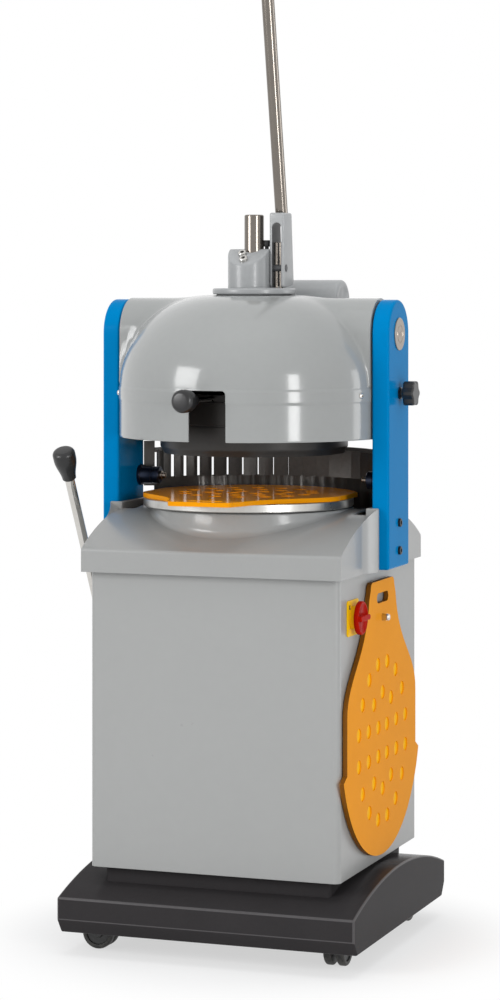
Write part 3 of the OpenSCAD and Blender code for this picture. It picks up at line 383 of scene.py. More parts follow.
class Wire:
    """A socket's value that takes part in Python expressions."""

    def __init__(self, sheet: Sheet, socket: bpy.types.NodeSocket) -> None:
        """Keeps the node sheet and the socket."""
        self.sheet, self.socket = sheet, socket

    def maths(self, operation: str, *values: Any) -> Wire:
        """Adds a Math node.

        Args:
            operation: The Math node's operation.
            *values: Its inputs, in order.

        Returns:
            The result.
        """
        node = self.sheet.node("ShaderNodeMath", {"operation": operation})
        for socket, value in zip(node.inputs, values):
            self.sheet.feed(socket, value)
        return Wire(self.sheet, node.outputs[0])

    def __add__(self, other: Wire | float) -> Wire:
        """Sum."""
        return self.maths("ADD", self, other)

    def __sub__(self, other: Wire | float) -> Wire:
        """Difference."""
        return self.maths("SUBTRACT", self, other)

    def __rsub__(self, other: float) -> Wire:
        """Difference from a number."""
        return self.maths("SUBTRACT", other, self)

    def __mul__(self, other: Wire | float) -> Wire:
        """Product."""
        return self.maths("MULTIPLY", self, other)

    __radd__, __rmul__ = __add__, __mul__

    def clamp(self) -> Wire:
        """Keeps the value between 0 and 1."""
        return self.maths("MINIMUM", self.maths("MAXIMUM", self, 0.0), 1.0)

    def above(self, limit: float, soft: float) -> Wire:
        """Ramps from 0 to 1 around a limit."""
        return ((self - limit) * (1.0 / soft) + 0.5).clamp()


class Sheet:
    """The node sheet of a material or of the world."""

    def __init__(self, owner: bpy.types.Material | bpy.types.World) -> None:
        """Starts a sheet afresh.

        Args:
            owner: The material or world that it belongs to.
        """
        owner.use_nodes = True
        self.tree = owner.node_tree
        self.tree.nodes.clear()

    @cached_property
    def place(self) -> bpy.types.NodeSocket:
        """The object's own coordinates."""
        return self.node("ShaderNodeTexCoord").outputs["Object"]

    def node(self, kind: str, settings: dict[str, Any] | None = None, **inputs: Any) -> bpy.types.Node:
        """Adds any node.

        Args:
            kind: Blender's name of the node type.
            settings: Settings, which are set first.
            **inputs: Values or links of its sockets, by name with _ for a space.

        Returns:
            The node.
        """
        node = self.tree.nodes.new(kind)
        for key, value in (settings or {}).items():
            setattr(node, key, value)
        for key, value in inputs.items():
            self.feed(node.inputs[key.replace("_", " ")], value)
        return node

    def feed(self, socket: bpy.types.NodeSocket, value: Any) -> None:
        """Sets a socket to a value, or links it.

        Args:
            socket: The socket to feed.
            value: A wire, another socket or a plain value.
        """
        value = value.socket if isinstance(value, Wire) else value
        if isinstance(value, bpy.types.NodeSocket):
            self.tree.links.new(value, socket)
        else:
            socket.default_value = value

    def noise(self, scale: float, stretch: Numbers = (1, 1, 1), detail: float = 3.0) -> Wire:
        """Adds a noise pattern on the object's own coordinates.

        Args:
            scale: Repeats in a metre.
            stretch: Scale of the three directions.
            detail: Levels of detail.

        Returns:
            The pattern, from 0 to 1.
        """
        mapped = self.node("ShaderNodeMapping", Vector=self.place, Scale=tuple(stretch)).outputs[0]
        node = self.node("ShaderNodeTexNoise", Vector=mapped, Scale=scale, Detail=detail, Roughness=0.55)
        return Wire(self, node.outputs["Fac"])

    def part(self, axis: Axis) -> Wire:
        """One of the object's coordinates."""
        return Wire(self, self.node("ShaderNodeSeparateXYZ", Vector=self.place).outputs[axis.value])

    def blend(self, share: Wire, low: Any, high: Any) -> Wire:
        """Mixes two colours.

        Args:
            share: 0 for the first colour and 1 for the second.
            low: First colour.
            high: Second colour.

        Returns:
            The mixed colour.
        """
        node = self.node("ShaderNodeMix", {"data_type": "RGBA"})
        for index, value in ((0, share), (6, low), (7, high)):
            self.feed(node.inputs[index], value if isinstance(value, Wire) else (*value, 1.0))
        return Wire(self, node.outputs[2])

    def show(self, output: str, share: Wire, low: bpy.types.Node, high: bpy.types.Node) -> None:
        """Puts a mix of two shaders on the output.

        Args:
            output: Blender's name of the output node.
            share: 0 for the first shader and 1 for the second.
            low: First shader.
            high: Second shader.
        """
        mix = self.node("ShaderNodeMixShader")
        for socket, value in zip(mix.inputs, (share, low.outputs[0], high.outputs[0])):
            self.feed(socket, value)
        self.node(output, Surface=mix.outputs[0])

    def seen(self) -> Wire:
        """Adds the share of rays that show the plain surroundings.

        Returns:
            1 for camera, glossy and transmitted rays.
        """
        path = self.node("ShaderNodeLightPath").outputs
        seen = Wire(self, path["Is Camera Ray"])
        for name in ("Is Glossy Ray", "Is Transmission Ray"):
            seen = seen.maths("MAXIMUM", seen, path[name])
        return seen


def linear(colour: Numbers) -> Triple:
    """Turns a colour as seen on a screen, 0 to 255, into the shader's own values."""
    shares = [c / 255 for c in colour]
    return tuple(s / 12.92 if s <= 0.04045 else ((s + 0.055) / 1.055) ** 2.4 for s in shares)


class Grain(Enum):
    """How a surface was made: repeats in a metre, levels of detail and height of its fine relief."""

    SPRAYED = (420, 2.0, 0.00004)
    MOULDED = (1500, 4.0, 0.00005)
    CAST = (700, 5.0, 0.00018)
    DRAWN = (2600, 3.0, 0.00004)
    TURNED = (420, 2.0, 0.00003)
    POLISHED = (220, 1.0, 0.00001)


@dataclass(frozen=True)
class Finish:
    """A surface finish.

    The colour is as seen on a screen, 0 to 255. The tint is the colour of its uneven patches.
    """

    name: str
    colour: Triple
    tint: Triple
    rough: float
    grain: Grain = Grain.POLISHED
    metal: float = 0.0
    coat: float = 0.0
    patches: float = 9.0
    spread: float = 0.08
    dust: float = 0.0
    gloss: float = 0.5
    along: Axis = Axis.Z
    middle: Flat = (0.0, 0.0)

    def relief(self, sheet: Sheet) -> tuple[Wire, float]:
        """Draws the fine relief.

        Args:
            sheet: The material's node sheet.

        Returns:
            The height pattern and its height in metres.
        """
        scale, detail, height = self.grain.value
        if self.grain is Grain.TURNED:
            middle = (-self.middle[0], -self.middle[1], 0)
            centred = sheet.node("ShaderNodeMapping", Vector=sheet.place, Location=middle)
            rings = sheet.node(
                "ShaderNodeTexWave", {"wave_type": "RINGS", "rings_direction": "Z"},
                Vector=centred.outputs[0], Scale=scale, Distortion=0.6, Detail=detail,
            )
            return Wire(sheet, rings.outputs["Fac"]), height
        stretch = [1.0, 1.0, 1.0]
        if self.grain is Grain.DRAWN:
            stretch[self.along.value] = 0.02
        pattern = sheet.noise(scale, stretch, detail)
        if self.grain is Grain.CAST:
            pattern = pattern + 0.6 * sheet.noise(160, detail=2.0)
        return pattern, height

    @cache
    def build(self) -> bpy.types.Material:
        """Builds the material, once for each finish.

        Returns:
            The material.
        """
        material = bpy.data.materials.new(self.name)
        sheet = Sheet(material)
        broad = sheet.noise(self.patches, detail=4.0)
        fine = sheet.noise(self.patches * 14, detail=3.0)
        share = (0.65 * broad + 0.35 * fine).above(0.52, 0.5)
        colour = sheet.blend(share, linear(self.colour), linear(self.tint))
        rough = self.rough + self.spread * (broad + fine - 1.0)
        if self.dust:
            settled = (1.0 - sheet.part(Axis.Z).above(0.22, 0.4)) * fine.above(0.5, 0.3) * self.dust
            colour = sheet.blend(settled, colour, linear((176, 170, 160)))
            rough = rough + 0.25 * settled
        height, distance = self.relief(sheet)
        bump = sheet.node("ShaderNodeBump", Height=height, Strength=0.6, Distance=distance)
        shader = sheet.node(
            "ShaderNodeBsdfPrincipled", Base_Color=colour, Roughness=rough.clamp(), Metallic=self.metal,
            Specular_IOR_Level=self.gloss, Coat_Weight=self.coat, Coat_Roughness=0.06, Normal=bump.outputs[0],
        )
        sheet.node("ShaderNodeOutputMaterial", Surface=shader.outputs[0])
        return material


class Finishes:
    """The machine's finishes."""

    BASE_BLACK = Finish("base_black_paint", (53, 51, 52), (57, 55, 56), 0.22, gloss=0.014, spread=0.04)
    # Painted highlight: a lighter grey for the narrow strips along the base's upper edges.
    BASE_EDGE_HIGHLIGHT = Finish("base_painted_edge_highlight", (88, 86, 87), (78, 76, 77), 0.26, gloss=0.1, spread=0.04)
    CABINET_GREY = Finish(
        "cabinet_grey_paint", (160, 161, 160), (156, 157, 156), 0.3, Grain.SPRAYED, patches=3, gloss=0.45
    )
    COVER_GREY = Finish(
        "cover_grey_moulding", (156, 157, 156), (152, 153, 152), 0.24, Grain.SPRAYED, gloss=0.4, coat=0.14
    )
    HEAD_GREY = Finish(
        "head_grey_gloss", (154, 156, 155), (149, 151, 150), 0.16, gloss=0.4, coat=0.3, patches=5, spread=0.04
    )
    CAST_GREY = Finish("cast_grey_paint", (160, 162, 163), (150, 152, 153), 0.32, Grain.CAST, coat=0.15)
    BLUE = Finish(
        "column_blue_gloss", (0, 126, 188), (0, 121, 182), 0.16, gloss=0.015, patches=6, spread=0.03
    )
    STEEL = Finish("drawn_steel", (130, 124, 117), (118, 112, 106), 0.16, metal=1.0, patches=16, spread=0.05)
    STEEL_ACROSS = Finish(
        "turned_bar_steel", (170, 160, 150), (140, 130, 120), 0.3, Grain.DRAWN, metal=1.0, along=Axis.X
    )
    CHROME = Finish("chromed_steel", (212, 210, 206), (196, 193, 188), 0.1, metal=1.0, spread=0.04)
    ALLOY = Finish(
        "turned_alloy", (205, 204, 200), (184, 183, 180), 0.3, Grain.TURNED, metal=1.0, middle=TABLE_AT
    )
    BLACK_ALLOY = Finish("black_anodised_alloy", (38, 36, 35), (52, 49, 46), 0.38, Grain.DRAWN, metal=0.3)
    GUARD = Finish("guard_dark_sheet", (92, 89, 86), (74, 72, 70), 0.32, Grain.DRAWN, metal=0.55)
    BUFFER = Finish("blued_buffer_steel", (54, 62, 82), (42, 48, 64), 0.3, metal=0.75)
    # Black grip plastic, also laid on the switch eye's walls as painted shade.
    GRIP_AND_PAINTED_SHADE = Finish("black_grip_plastic_and_painted_shade", (24, 24, 25), (34, 34, 35), 0.3, Grain.MOULDED)
    RUBBER = Finish("black_rubber", (22, 22, 23), (30, 30, 30), 0.5, Grain.MOULDED, dust=0.1)
    ORANGE = Finish(
        "plate_orange_plastic", (238, 154, 16), (232, 148, 10), 0.14, gloss=0.012, patches=14, spread=0.03
    )
    # Painted light: a lighter yellow copy of the plate's plastic for the pocket floors.
    POCKET_PAINTED_LIGHT = Finish("pocket_floor_painted_light", (254, 190, 20), (250, 184, 14), 0.3, gloss=0.02, patches=14)
    # Painted shade: a dark brown for the spare plate's side faces, which are the same orange plastic.
    PLATE_EDGE_SHADE = Finish("plate_edge_painted_shade", (126, 78, 18), (108, 64, 12), 0.5, Grain.DRAWN, gloss=0.1)
    YELLOW = Finish("switch_yellow_plastic", (252, 200, 18), (248, 194, 12), 0.3, gloss=0.05)
    RED = Finish("switch_red_plastic", (176, 24, 8), (160, 16, 6), 0.2, gloss=0.012)
    HUB_GREY = Finish("hub_grey_plastic", (58, 58, 58), (48, 48, 48), 0.42, Grain.MOULDED)
    STAMP = Finish("stamp_alloy", (206, 204, 198), (190, 188, 182), 0.34, Grain.DRAWN, metal=0.8)
    MOTOR = Finish("motor_casting", (92, 95, 98), (76, 78, 82), 0.5, Grain.CAST, dust=0.15)
    # Dark paint of the inner bed parts, also laid as painted shade in the lever socket's slot, the clamp
    # screws' sockets and on the lever pin.
    BED_AND_PAINTED_SHADE = Finish("bed_dark_paint_and_painted_shade", (70, 71, 73), (58, 59, 61), 0.45, Grain.CAST)
    SCREW = Finish("blackened_steel", (40, 40, 42), (58, 57, 56), 0.36, metal=0.8)


def dress(piece: Piece, *finishes: Finish) -> None:
    """Puts finishes on a piece's material slots.

    Args:
        piece: The piece to dress.
        *finishes: One for each slot, in order.
    """
    piece.data.materials.clear()
    for finish in finishes:
        piece.data.materials.append(finish.build())


def fit(piece: Piece, body: str, slot: str, finishes: Iterable[Finish], *nodes: str) -> Piece:
    """Dresses a piece and hangs it on its body.

    Args:
        piece: The finished piece.
        body: The frame's body that carries it.
        slot: The record's material slot; not used.
        finishes: Finishes of its material slots.
        *nodes: The frame's nodes that it stands for.

    Returns:
        The same piece.
    """
    dress(piece, *finishes)
    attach(piece, body)
    if nodes:
        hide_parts(*nodes)
    LOG.info("%s on %s: %d faces", piece.name, body, len(piece.data.polygons))
    return piece


def assemble(name: str, parts: Sequence[Piece], *place: Any) -> Piece:
    """Joins parts into a smooth piece and passes its body, slot, finishes and nodes on to fit."""
    return fit(Bench.smooth(Bench.join(name, parts)), *place)


def soften(node: str, name: str, width: float, body: str, slot: str, finish: Finish) -> None:
    """Hangs a copy of a frame node with rounded edges in the node's place."""
    fit(Bench.softened(node, name, width), body, slot, [finish], node)


def pick_faces(piece: Piece, slot: int, rule: FaceRule) -> None:
    """Gives a piece's faces that meet a rule to a material slot."""
    for face in filter(rule, piece.data.polygons):
        face.material_index = slot


def strip_width(piece: Piece, face: bpy.types.MeshPolygon) -> float:
    """The width of a long, narrow face."""
    spots = [piece.data.vertices[i].co for i in face.vertices]
    return 2 * face.area / sum((a - b).length for a, b in zip(spots, [*spots[1:], spots[0]]))


def span(node: str) -> tuple[Vector, Vector]:
    """The lowest and highest corner of a frame node."""
    lo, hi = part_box(node)
    return Vector(lo), Vector(hi)


def column_span(side: int) -> tuple[Vector, Vector]:
    """The corners of the left column, -1, or the right one, 1."""
    return span("left_column" if side < 0 else "right_column")


def between(lo: Vector, hi: Vector) -> Triple:
    """The middle of two corners."""
    return tuple((a + b) / 2 for a, b in zip(lo, hi))


def pivot(joint: str) -> Triple:
    """A point on the axis of a frame's joint."""
    return tuple(next(j for j in FRAME["joints"] if j["name"] == joint)["pos_m"])


def pear_grip(name: str, foot: Numbers, axis: Numbers, neck: float) -> Piece:
    """Turns a pear-shaped grip with a flat, softly rounded end.

    Args:
        name: Name of the piece.
        foot: Middle of the neck's end.
        axis: Direction from the neck to the wide end.
        neck: Radius of the neck.

    Returns:
        The grip.
    """
    length, radius, crown, steps = 0.068, 0.023, 0.010, 14
    swell = []
    for i in range(1, steps + 1):
        share = (1 - math.cos(math.pi * i / steps)) / 2
        swell.append((neck + (radius - neck) * share, (length - 2 * crown) * i / steps))
    section = [
        (0, 0), (neck - 0.0015, 0), (neck, 0.0015), *swell,
        *arc((radius - crown, length - crown), crown, 0, 90, 8),
        (radius * 0.3, length + 0.0004), (0, length + 0.0005),
    ]
    return Bench.smooth(Bench.lathe(name, section, foot, axis, 48), 60)


@dataclass
class Undercarriage:
    """The arched black base, its plinth and the four castors."""

    edge: float = 0.115
    crest: float = 0.166
    set_back: float = 0.020
    set_back_height: float = 0.027
    wall: float = 0.006
    corner: float = 0.0034
    corner_steps: int = 3
    plinth_depth: float = 0.058
    wheel_gap: float = 0.0045
    tread: float = 0.005
    dish: float = 0.004

    def profile(self, inset: float) -> list[Flat]:
        """Draws the base's side outline.

        Args:
            inset: Distance inside the outer faces.

        Returns:
            Points as Y and Z.
        """
        lo, hi = span("base_shell")
        half, middle = (hi.y - lo.y) / 2, (hi.y + lo.y) / 2
        rise = self.crest - self.edge
        radius = (half * half + rise * rise) / (2 * rise)
        swing = math.degrees(math.asin((half - inset) / (radius - inset)))
        arch = arc((middle, self.crest - radius), radius - inset, 90 - swing, 90 + swing, 28)
        foot, shoulder = lo.z - (0.001 if inset else 0.0), lo.z + self.set_back_height
        back, front = hi.y - inset, lo.y + inset
        left = [(front, shoulder), (front + self.set_back, foot)]
        return [(back - self.set_back, foot), (back, shoulder), *arch, *left]

    def base(self) -> None:
        """Models the hollow arched base and its plinth."""
        lo, hi = span("base_shell")
        wall = self.wall
        shell = Bench.prism("base", self.profile(0.0), Axis.X, lo.x, hi.x)
        Bench.round(shell, self.corner, self.corner_steps, 28)
        Bench.cut(shell, Bench.prism("hollow", self.profile(wall), Axis.X, lo.x + wall, hi.x - wall))
        Bench.round(shell, 0.0008, 1, 55)
        fit(shell, "frame", "base_black", [Finishes.BASE_BLACK, Finishes.BASE_EDGE_HIGHLIGHT], "base_shell")
        highlight_width, foot = 2.2 * self.corner / self.corner_steps, lo.z + self.set_back_height

        def highlit_strip(face: bpy.types.MeshPolygon) -> bool:
            """Tells the narrow strips along the upper edges, which get a painted highlight."""
            return strip_width(shell, face) < highlight_width and face.normal.z > -0.2 and face.center.z > foot

        # The upper edge strips take the lighter grey as a painted highlight.
        pick_faces(shell, 1, highlit_strip)
        low, high = span("plinth")
        plan = rounded_box((low.x, low.y), (high.x, high.y), 0.008)
        plinth = Bench.prism("plinth", plan, Axis.Z, self.crest - self.plinth_depth, high.z)
        Bench.cut(plinth, Bench.prism("hollow", self.profile(0.0005), Axis.X, lo.x, hi.x))
        Bench.round(plinth, 0.0015, 2)
        fit(plinth, "frame", "base_black", [Finishes.BASE_BLACK], "plinth")

    def castor(self, corner: str) -> None:
        """Models one twin-wheel castor.

        Args:
            corner: Which corner it stands at.
        """
        lo, hi = span(f"castor_wheel_{corner}")
        r, middle = (hi.z - lo.z) / 2, (lo + hi) / 2
        axis = Axis.X.vector if hi.x - lo.x < hi.y - lo.y else Axis.Y.vector
        width, tread = (hi - lo).dot(axis) / 2 - self.wheel_gap, self.tread
        sunk = width - self.dish
        section = [
            (0, 0), (r - tread, 0), *arc((r - tread, tread), tread, -90, 0, 5),
            *arc((r - tread, width - tread), tread, 0, 90, 5), (r * 0.74, width - 0.001), (r * 0.70, sunk),
            (r * 0.34, sunk), (r * 0.30, width - 0.0005), (0, width),
        ]
        parts = [
            Bench.lathe("wheel", section, middle + axis * side * self.wheel_gap, axis * side, 40)
            for side in LEFT_RIGHT
        ]
        axle = middle + axis * 0.006
        parts.append(Bench.rod("axle", middle * 2 - axle, axle, 0.004))
        wheel, fork = f"castor_wheel_{corner}", f"castor_fork_{corner}"
        finishes = [Finishes.RUBBER, Finishes.HUB_GREY]
        piece = assemble(f"{wheel}_rolling", parts, f"wheel_{corner}", "rubber", finishes, wheel)
        pick_faces(piece, 1, lambda f: (f.center - middle).cross(axis).length < r * 0.72)
        soften(fork, f"{fork}_web", 0.0012, f"castor_{corner}", "bed_steel", Finishes.GRIP_AND_PAINTED_SHADE)

    def build(self) -> None:
        """Builds the base and the castors."""
        self.base()
        for corner in ("fl", "fr", "rl", "rr"):
            self.castor(corner)


@dataclass
class Cabinet:
    """The sheet-metal cabinet with its rear panel, switch, peg and side lever."""

    wall: float = 0.0025
    corner: float = 0.014
    flange: float = 0.024
    screw: float = 0.0044
    knob_radius: float = 0.033
    knob_thick: float = 0.0097
    bar: float = 0.011
    bar_reach: float = 0.030
    switch_plate: float = 0.003
    switch_collar: float = 0.023
    switch_bore: float = 0.0062
    eye: float = 0.004
    eye_off: float = 0.022
    lever_lean: float = math.radians(29)
    lever_length: float = 0.455
    lever_radius: float = 0.010
    hub_radius: float = 0.020
    hub_half: float = 0.012

    def plan(self, inset: float) -> list[Flat]:
        """Draws the cabinet's plan with round front corners.

        Args:
            inset: Distance inside the outer faces.

        Returns:
            Points as X and Y.
        """
        lo, hi = span("cabinet_shell")
        half, front, back, r = hi.x - inset, lo.y + inset, hi.y - inset, self.corner - inset
        left = arc((-half + r, front + r), r, 180, 270, 8)
        right = arc((half - r, front + r), r, 270, 360, 8)
        return [*left, *right, (half, back), (-half, back)]

    def shell(self) -> None:
        """Models the folded shell, the rear panel, its screws and the gland."""
        lo, hi = span("cabinet_shell")
        wall, fold, side = self.wall, self.flange, hi.x - self.flange
        shell = Bench.prism("cabinet", self.plan(0.0), Axis.Z, lo.z, hi.z)
        Bench.cut(
            shell,
            Bench.prism("inside", self.plan(wall), Axis.Z, lo.z + wall, hi.z - wall),
            Bench.block("mouth", (-side, lo.y + fold, hi.z - CLEAR), (side, hi.y - fold, hi.z + CLEAR)),
            Bench.block("back", (-side, hi.y - CLEAR, lo.z + fold), (side, hi.y + CLEAR, hi.z - fold)),
        )
        Bench.round(shell, 0.0012, 2)
        fit(shell, "frame", "cabinet_grey", [Finishes.CABINET_GREY], "cabinet_shell")
        soften("rear_panel", "rear_cover_panel", 0.0008, "frame", "cabinet_grey", Finishes.CABINET_GREY)
        low, high = span("panel_screws")
        r, y, heads = self.screw, high.y, []
        dome = [(0, -0.0024), (r, -0.0024), (r, -0.0012), (r * 0.7, -0.0003), (0, 0)]
        for x in (low.x + r, high.x - r):
            for z in (low.z + r, (low.z + high.z) / 2, high.z - r):
                head = Bench.lathe("screw", dome, (x, y, z), ALONG_Y, 20)
                cross = (x - 0.0006, y - 0.0014, z - 0.003), (x + 0.0006, y + 0.001, z + 0.003)
                heads.append(Bench.cut(head, Bench.block("cross", *cross)))
        assemble("rear_panel_screw_heads", heads, "frame", "steel", [Finishes.STEEL_ACROSS], "panel_screws")
        soften("cable_gland", "cable_entry_gland", 0.0006, "frame", "grip_black", Finishes.GRIP_AND_PAINTED_SHADE)

    def switch(self) -> None:
        """Models the main switch's plate and rotary knob."""
        lo, hi = span("switch_plate")
        middle = (lo + hi) / 2
        y, z, bore, eye = middle.y, middle.z, self.switch_bore, self.eye
        outline = rounded_box((lo.y, lo.z), (hi.y, hi.z), 0.006)
        plate = Bench.prism("plate", outline, Axis.X, lo.x, lo.x + self.switch_plate)
        at = (y - self.eye_off, z + self.eye_off)
        eye_lo = (lo.x + 0.001, at[0] - eye, at[1] - eye)
        eye_hi = (hi.x + 0.001, at[0] + eye, at[1] + eye)
        Bench.cut(
            plate,
            Bench.block("eye", eye_lo, eye_hi),
            Bench.rod("shaft", (lo.x - CLEAR, y, z), (hi.x + CLEAR, y, z), bore),
        )
        Bench.round(plate, 0.0008, 2)
        depth, r = hi.x - lo.x - 0.001, self.switch_collar
        rim = [(r + 0.0015, 0), (r, 0.004), (r, depth - 0.001), (r - 0.001, depth)]
        section = [(bore, 0), *rim, (bore, depth)]
        collar = Bench.lathe("collar", section, (lo.x + 0.001, y, z), ALONG_X, 48)
        finishes = [Finishes.YELLOW, Finishes.GRIP_AND_PAINTED_SHADE]
        base = assemble("switch_base", [plate, collar], "frame", "switch_yellow", finishes, "switch_plate")
        near = eye * 1.1
        # The eye's walls and rim are painted black, as painted shade inside the hole.
        pick_faces(base, 1, lambda f: abs(f.center.y - at[0]) < near and abs(f.center.z - at[1]) < near)
        low, high = span("switch_knob")
        face, r, rim, thick = hi.x + GAP, self.knob_radius, 0.003, self.knob_thick
        section = [
            (0, 0), (r - 0.001, 0), (r, 0.001), *arc((r - rim, thick - rim), rim, 0, 90, 5),
            (r * 0.84, thick - 0.0004), (r * 0.80, thick - 0.0016), (0, thick - 0.0016),
        ]
        disc = Bench.lathe("disc", section, (face, y, z), ALONG_X, 64)
        reach, half = self.bar_reach, self.bar / 2
        outline = rounded_box((y - reach, z - half), (y + reach, z + half), 0.005)
        bar = Bench.prism("bar", outline, Axis.X, face + thick - 0.005, high.x)
        Bench.round(bar, 0.002, 4)
        shaft = Bench.rod("shaft", (low.x, y, z), (face + 0.002, y, z), 0.006)
        parts = [disc, bar, shaft]
        assemble("switch_rotary_knob", parts, "switch", "switch_red", [Finishes.RED], "switch_knob")

    def peg(self) -> None:
        """Models the chromed peg that the spare plate hangs on."""
        lo, hi = span("hanger_peg")
        _, y, z = between(lo, hi)
        face, r, nose = span("cabinet_shell")[1].x, (hi.z - lo.z) / 2, 0.004
        long, groove = hi.x - face, r - 0.0012
        section = [
            (0, 0), (r, 0), (r, long - 0.006), (groove, long - 0.0055), (groove, long - nose),
            *arc((r - nose, long - nose), nose, 0, 90, 6), (0, long),
        ]
        turned = Bench.lathe("peg", section, (face, y, z), ALONG_X, 32)
        stud = Bench.rod("stud", (lo.x, y, z), (face + 0.001, y, z), r / 2)
        assemble("spare_plate_peg", [turned, stud], "frame", "chrome", [Finishes.CHROME], "hanger_peg")

    def side_lever(self) -> None:
        """Models the side lever: bush, shaft, hub, leaning rod and grip."""
        soften("side_lever_bush", "side_lever_flange_bush", 0.0012, "frame", "steel", Finishes.STEEL_ACROSS)
        at, r = Vector(pivot("side_lever_swing")), self.lever_radius
        hub, half = self.hub_radius, self.hub_half
        up = Vector((0, -math.sin(self.lever_lean), math.cos(self.lever_lean)))
        neck = hub - 0.002
        rim = [(neck, -half), (hub, 0.002 - half), (hub, half - 0.002), (neck, half)]
        parts = [
            Bench.lathe("hub", [(0, -half), *rim, (0, half)], at, ALONG_X, 48),
            Bench.rod("shaft", at, (span("side_lever_rod")[1].x, at.y, at.z), r),
            Bench.rod("rod", at, at + up * (self.lever_length - 0.002), r, steps=48),
        ]
        assemble("side_lever_bar", parts, "side_lever", "chrome", [Finishes.CHROME], "side_lever_rod")
        grip = pear_grip("side_lever_handle", at + up * (self.lever_length - 0.020), up, 0.014)
        fit(grip, "side_lever", "grip_black", [Finishes.GRIP_AND_PAINTED_SHADE], "side_lever_grip")

    def build(self) -> None:
        """Builds the cabinet and what is on it."""
        for step in (self.shell, self.switch, self.peg, self.side_lever):
            step()


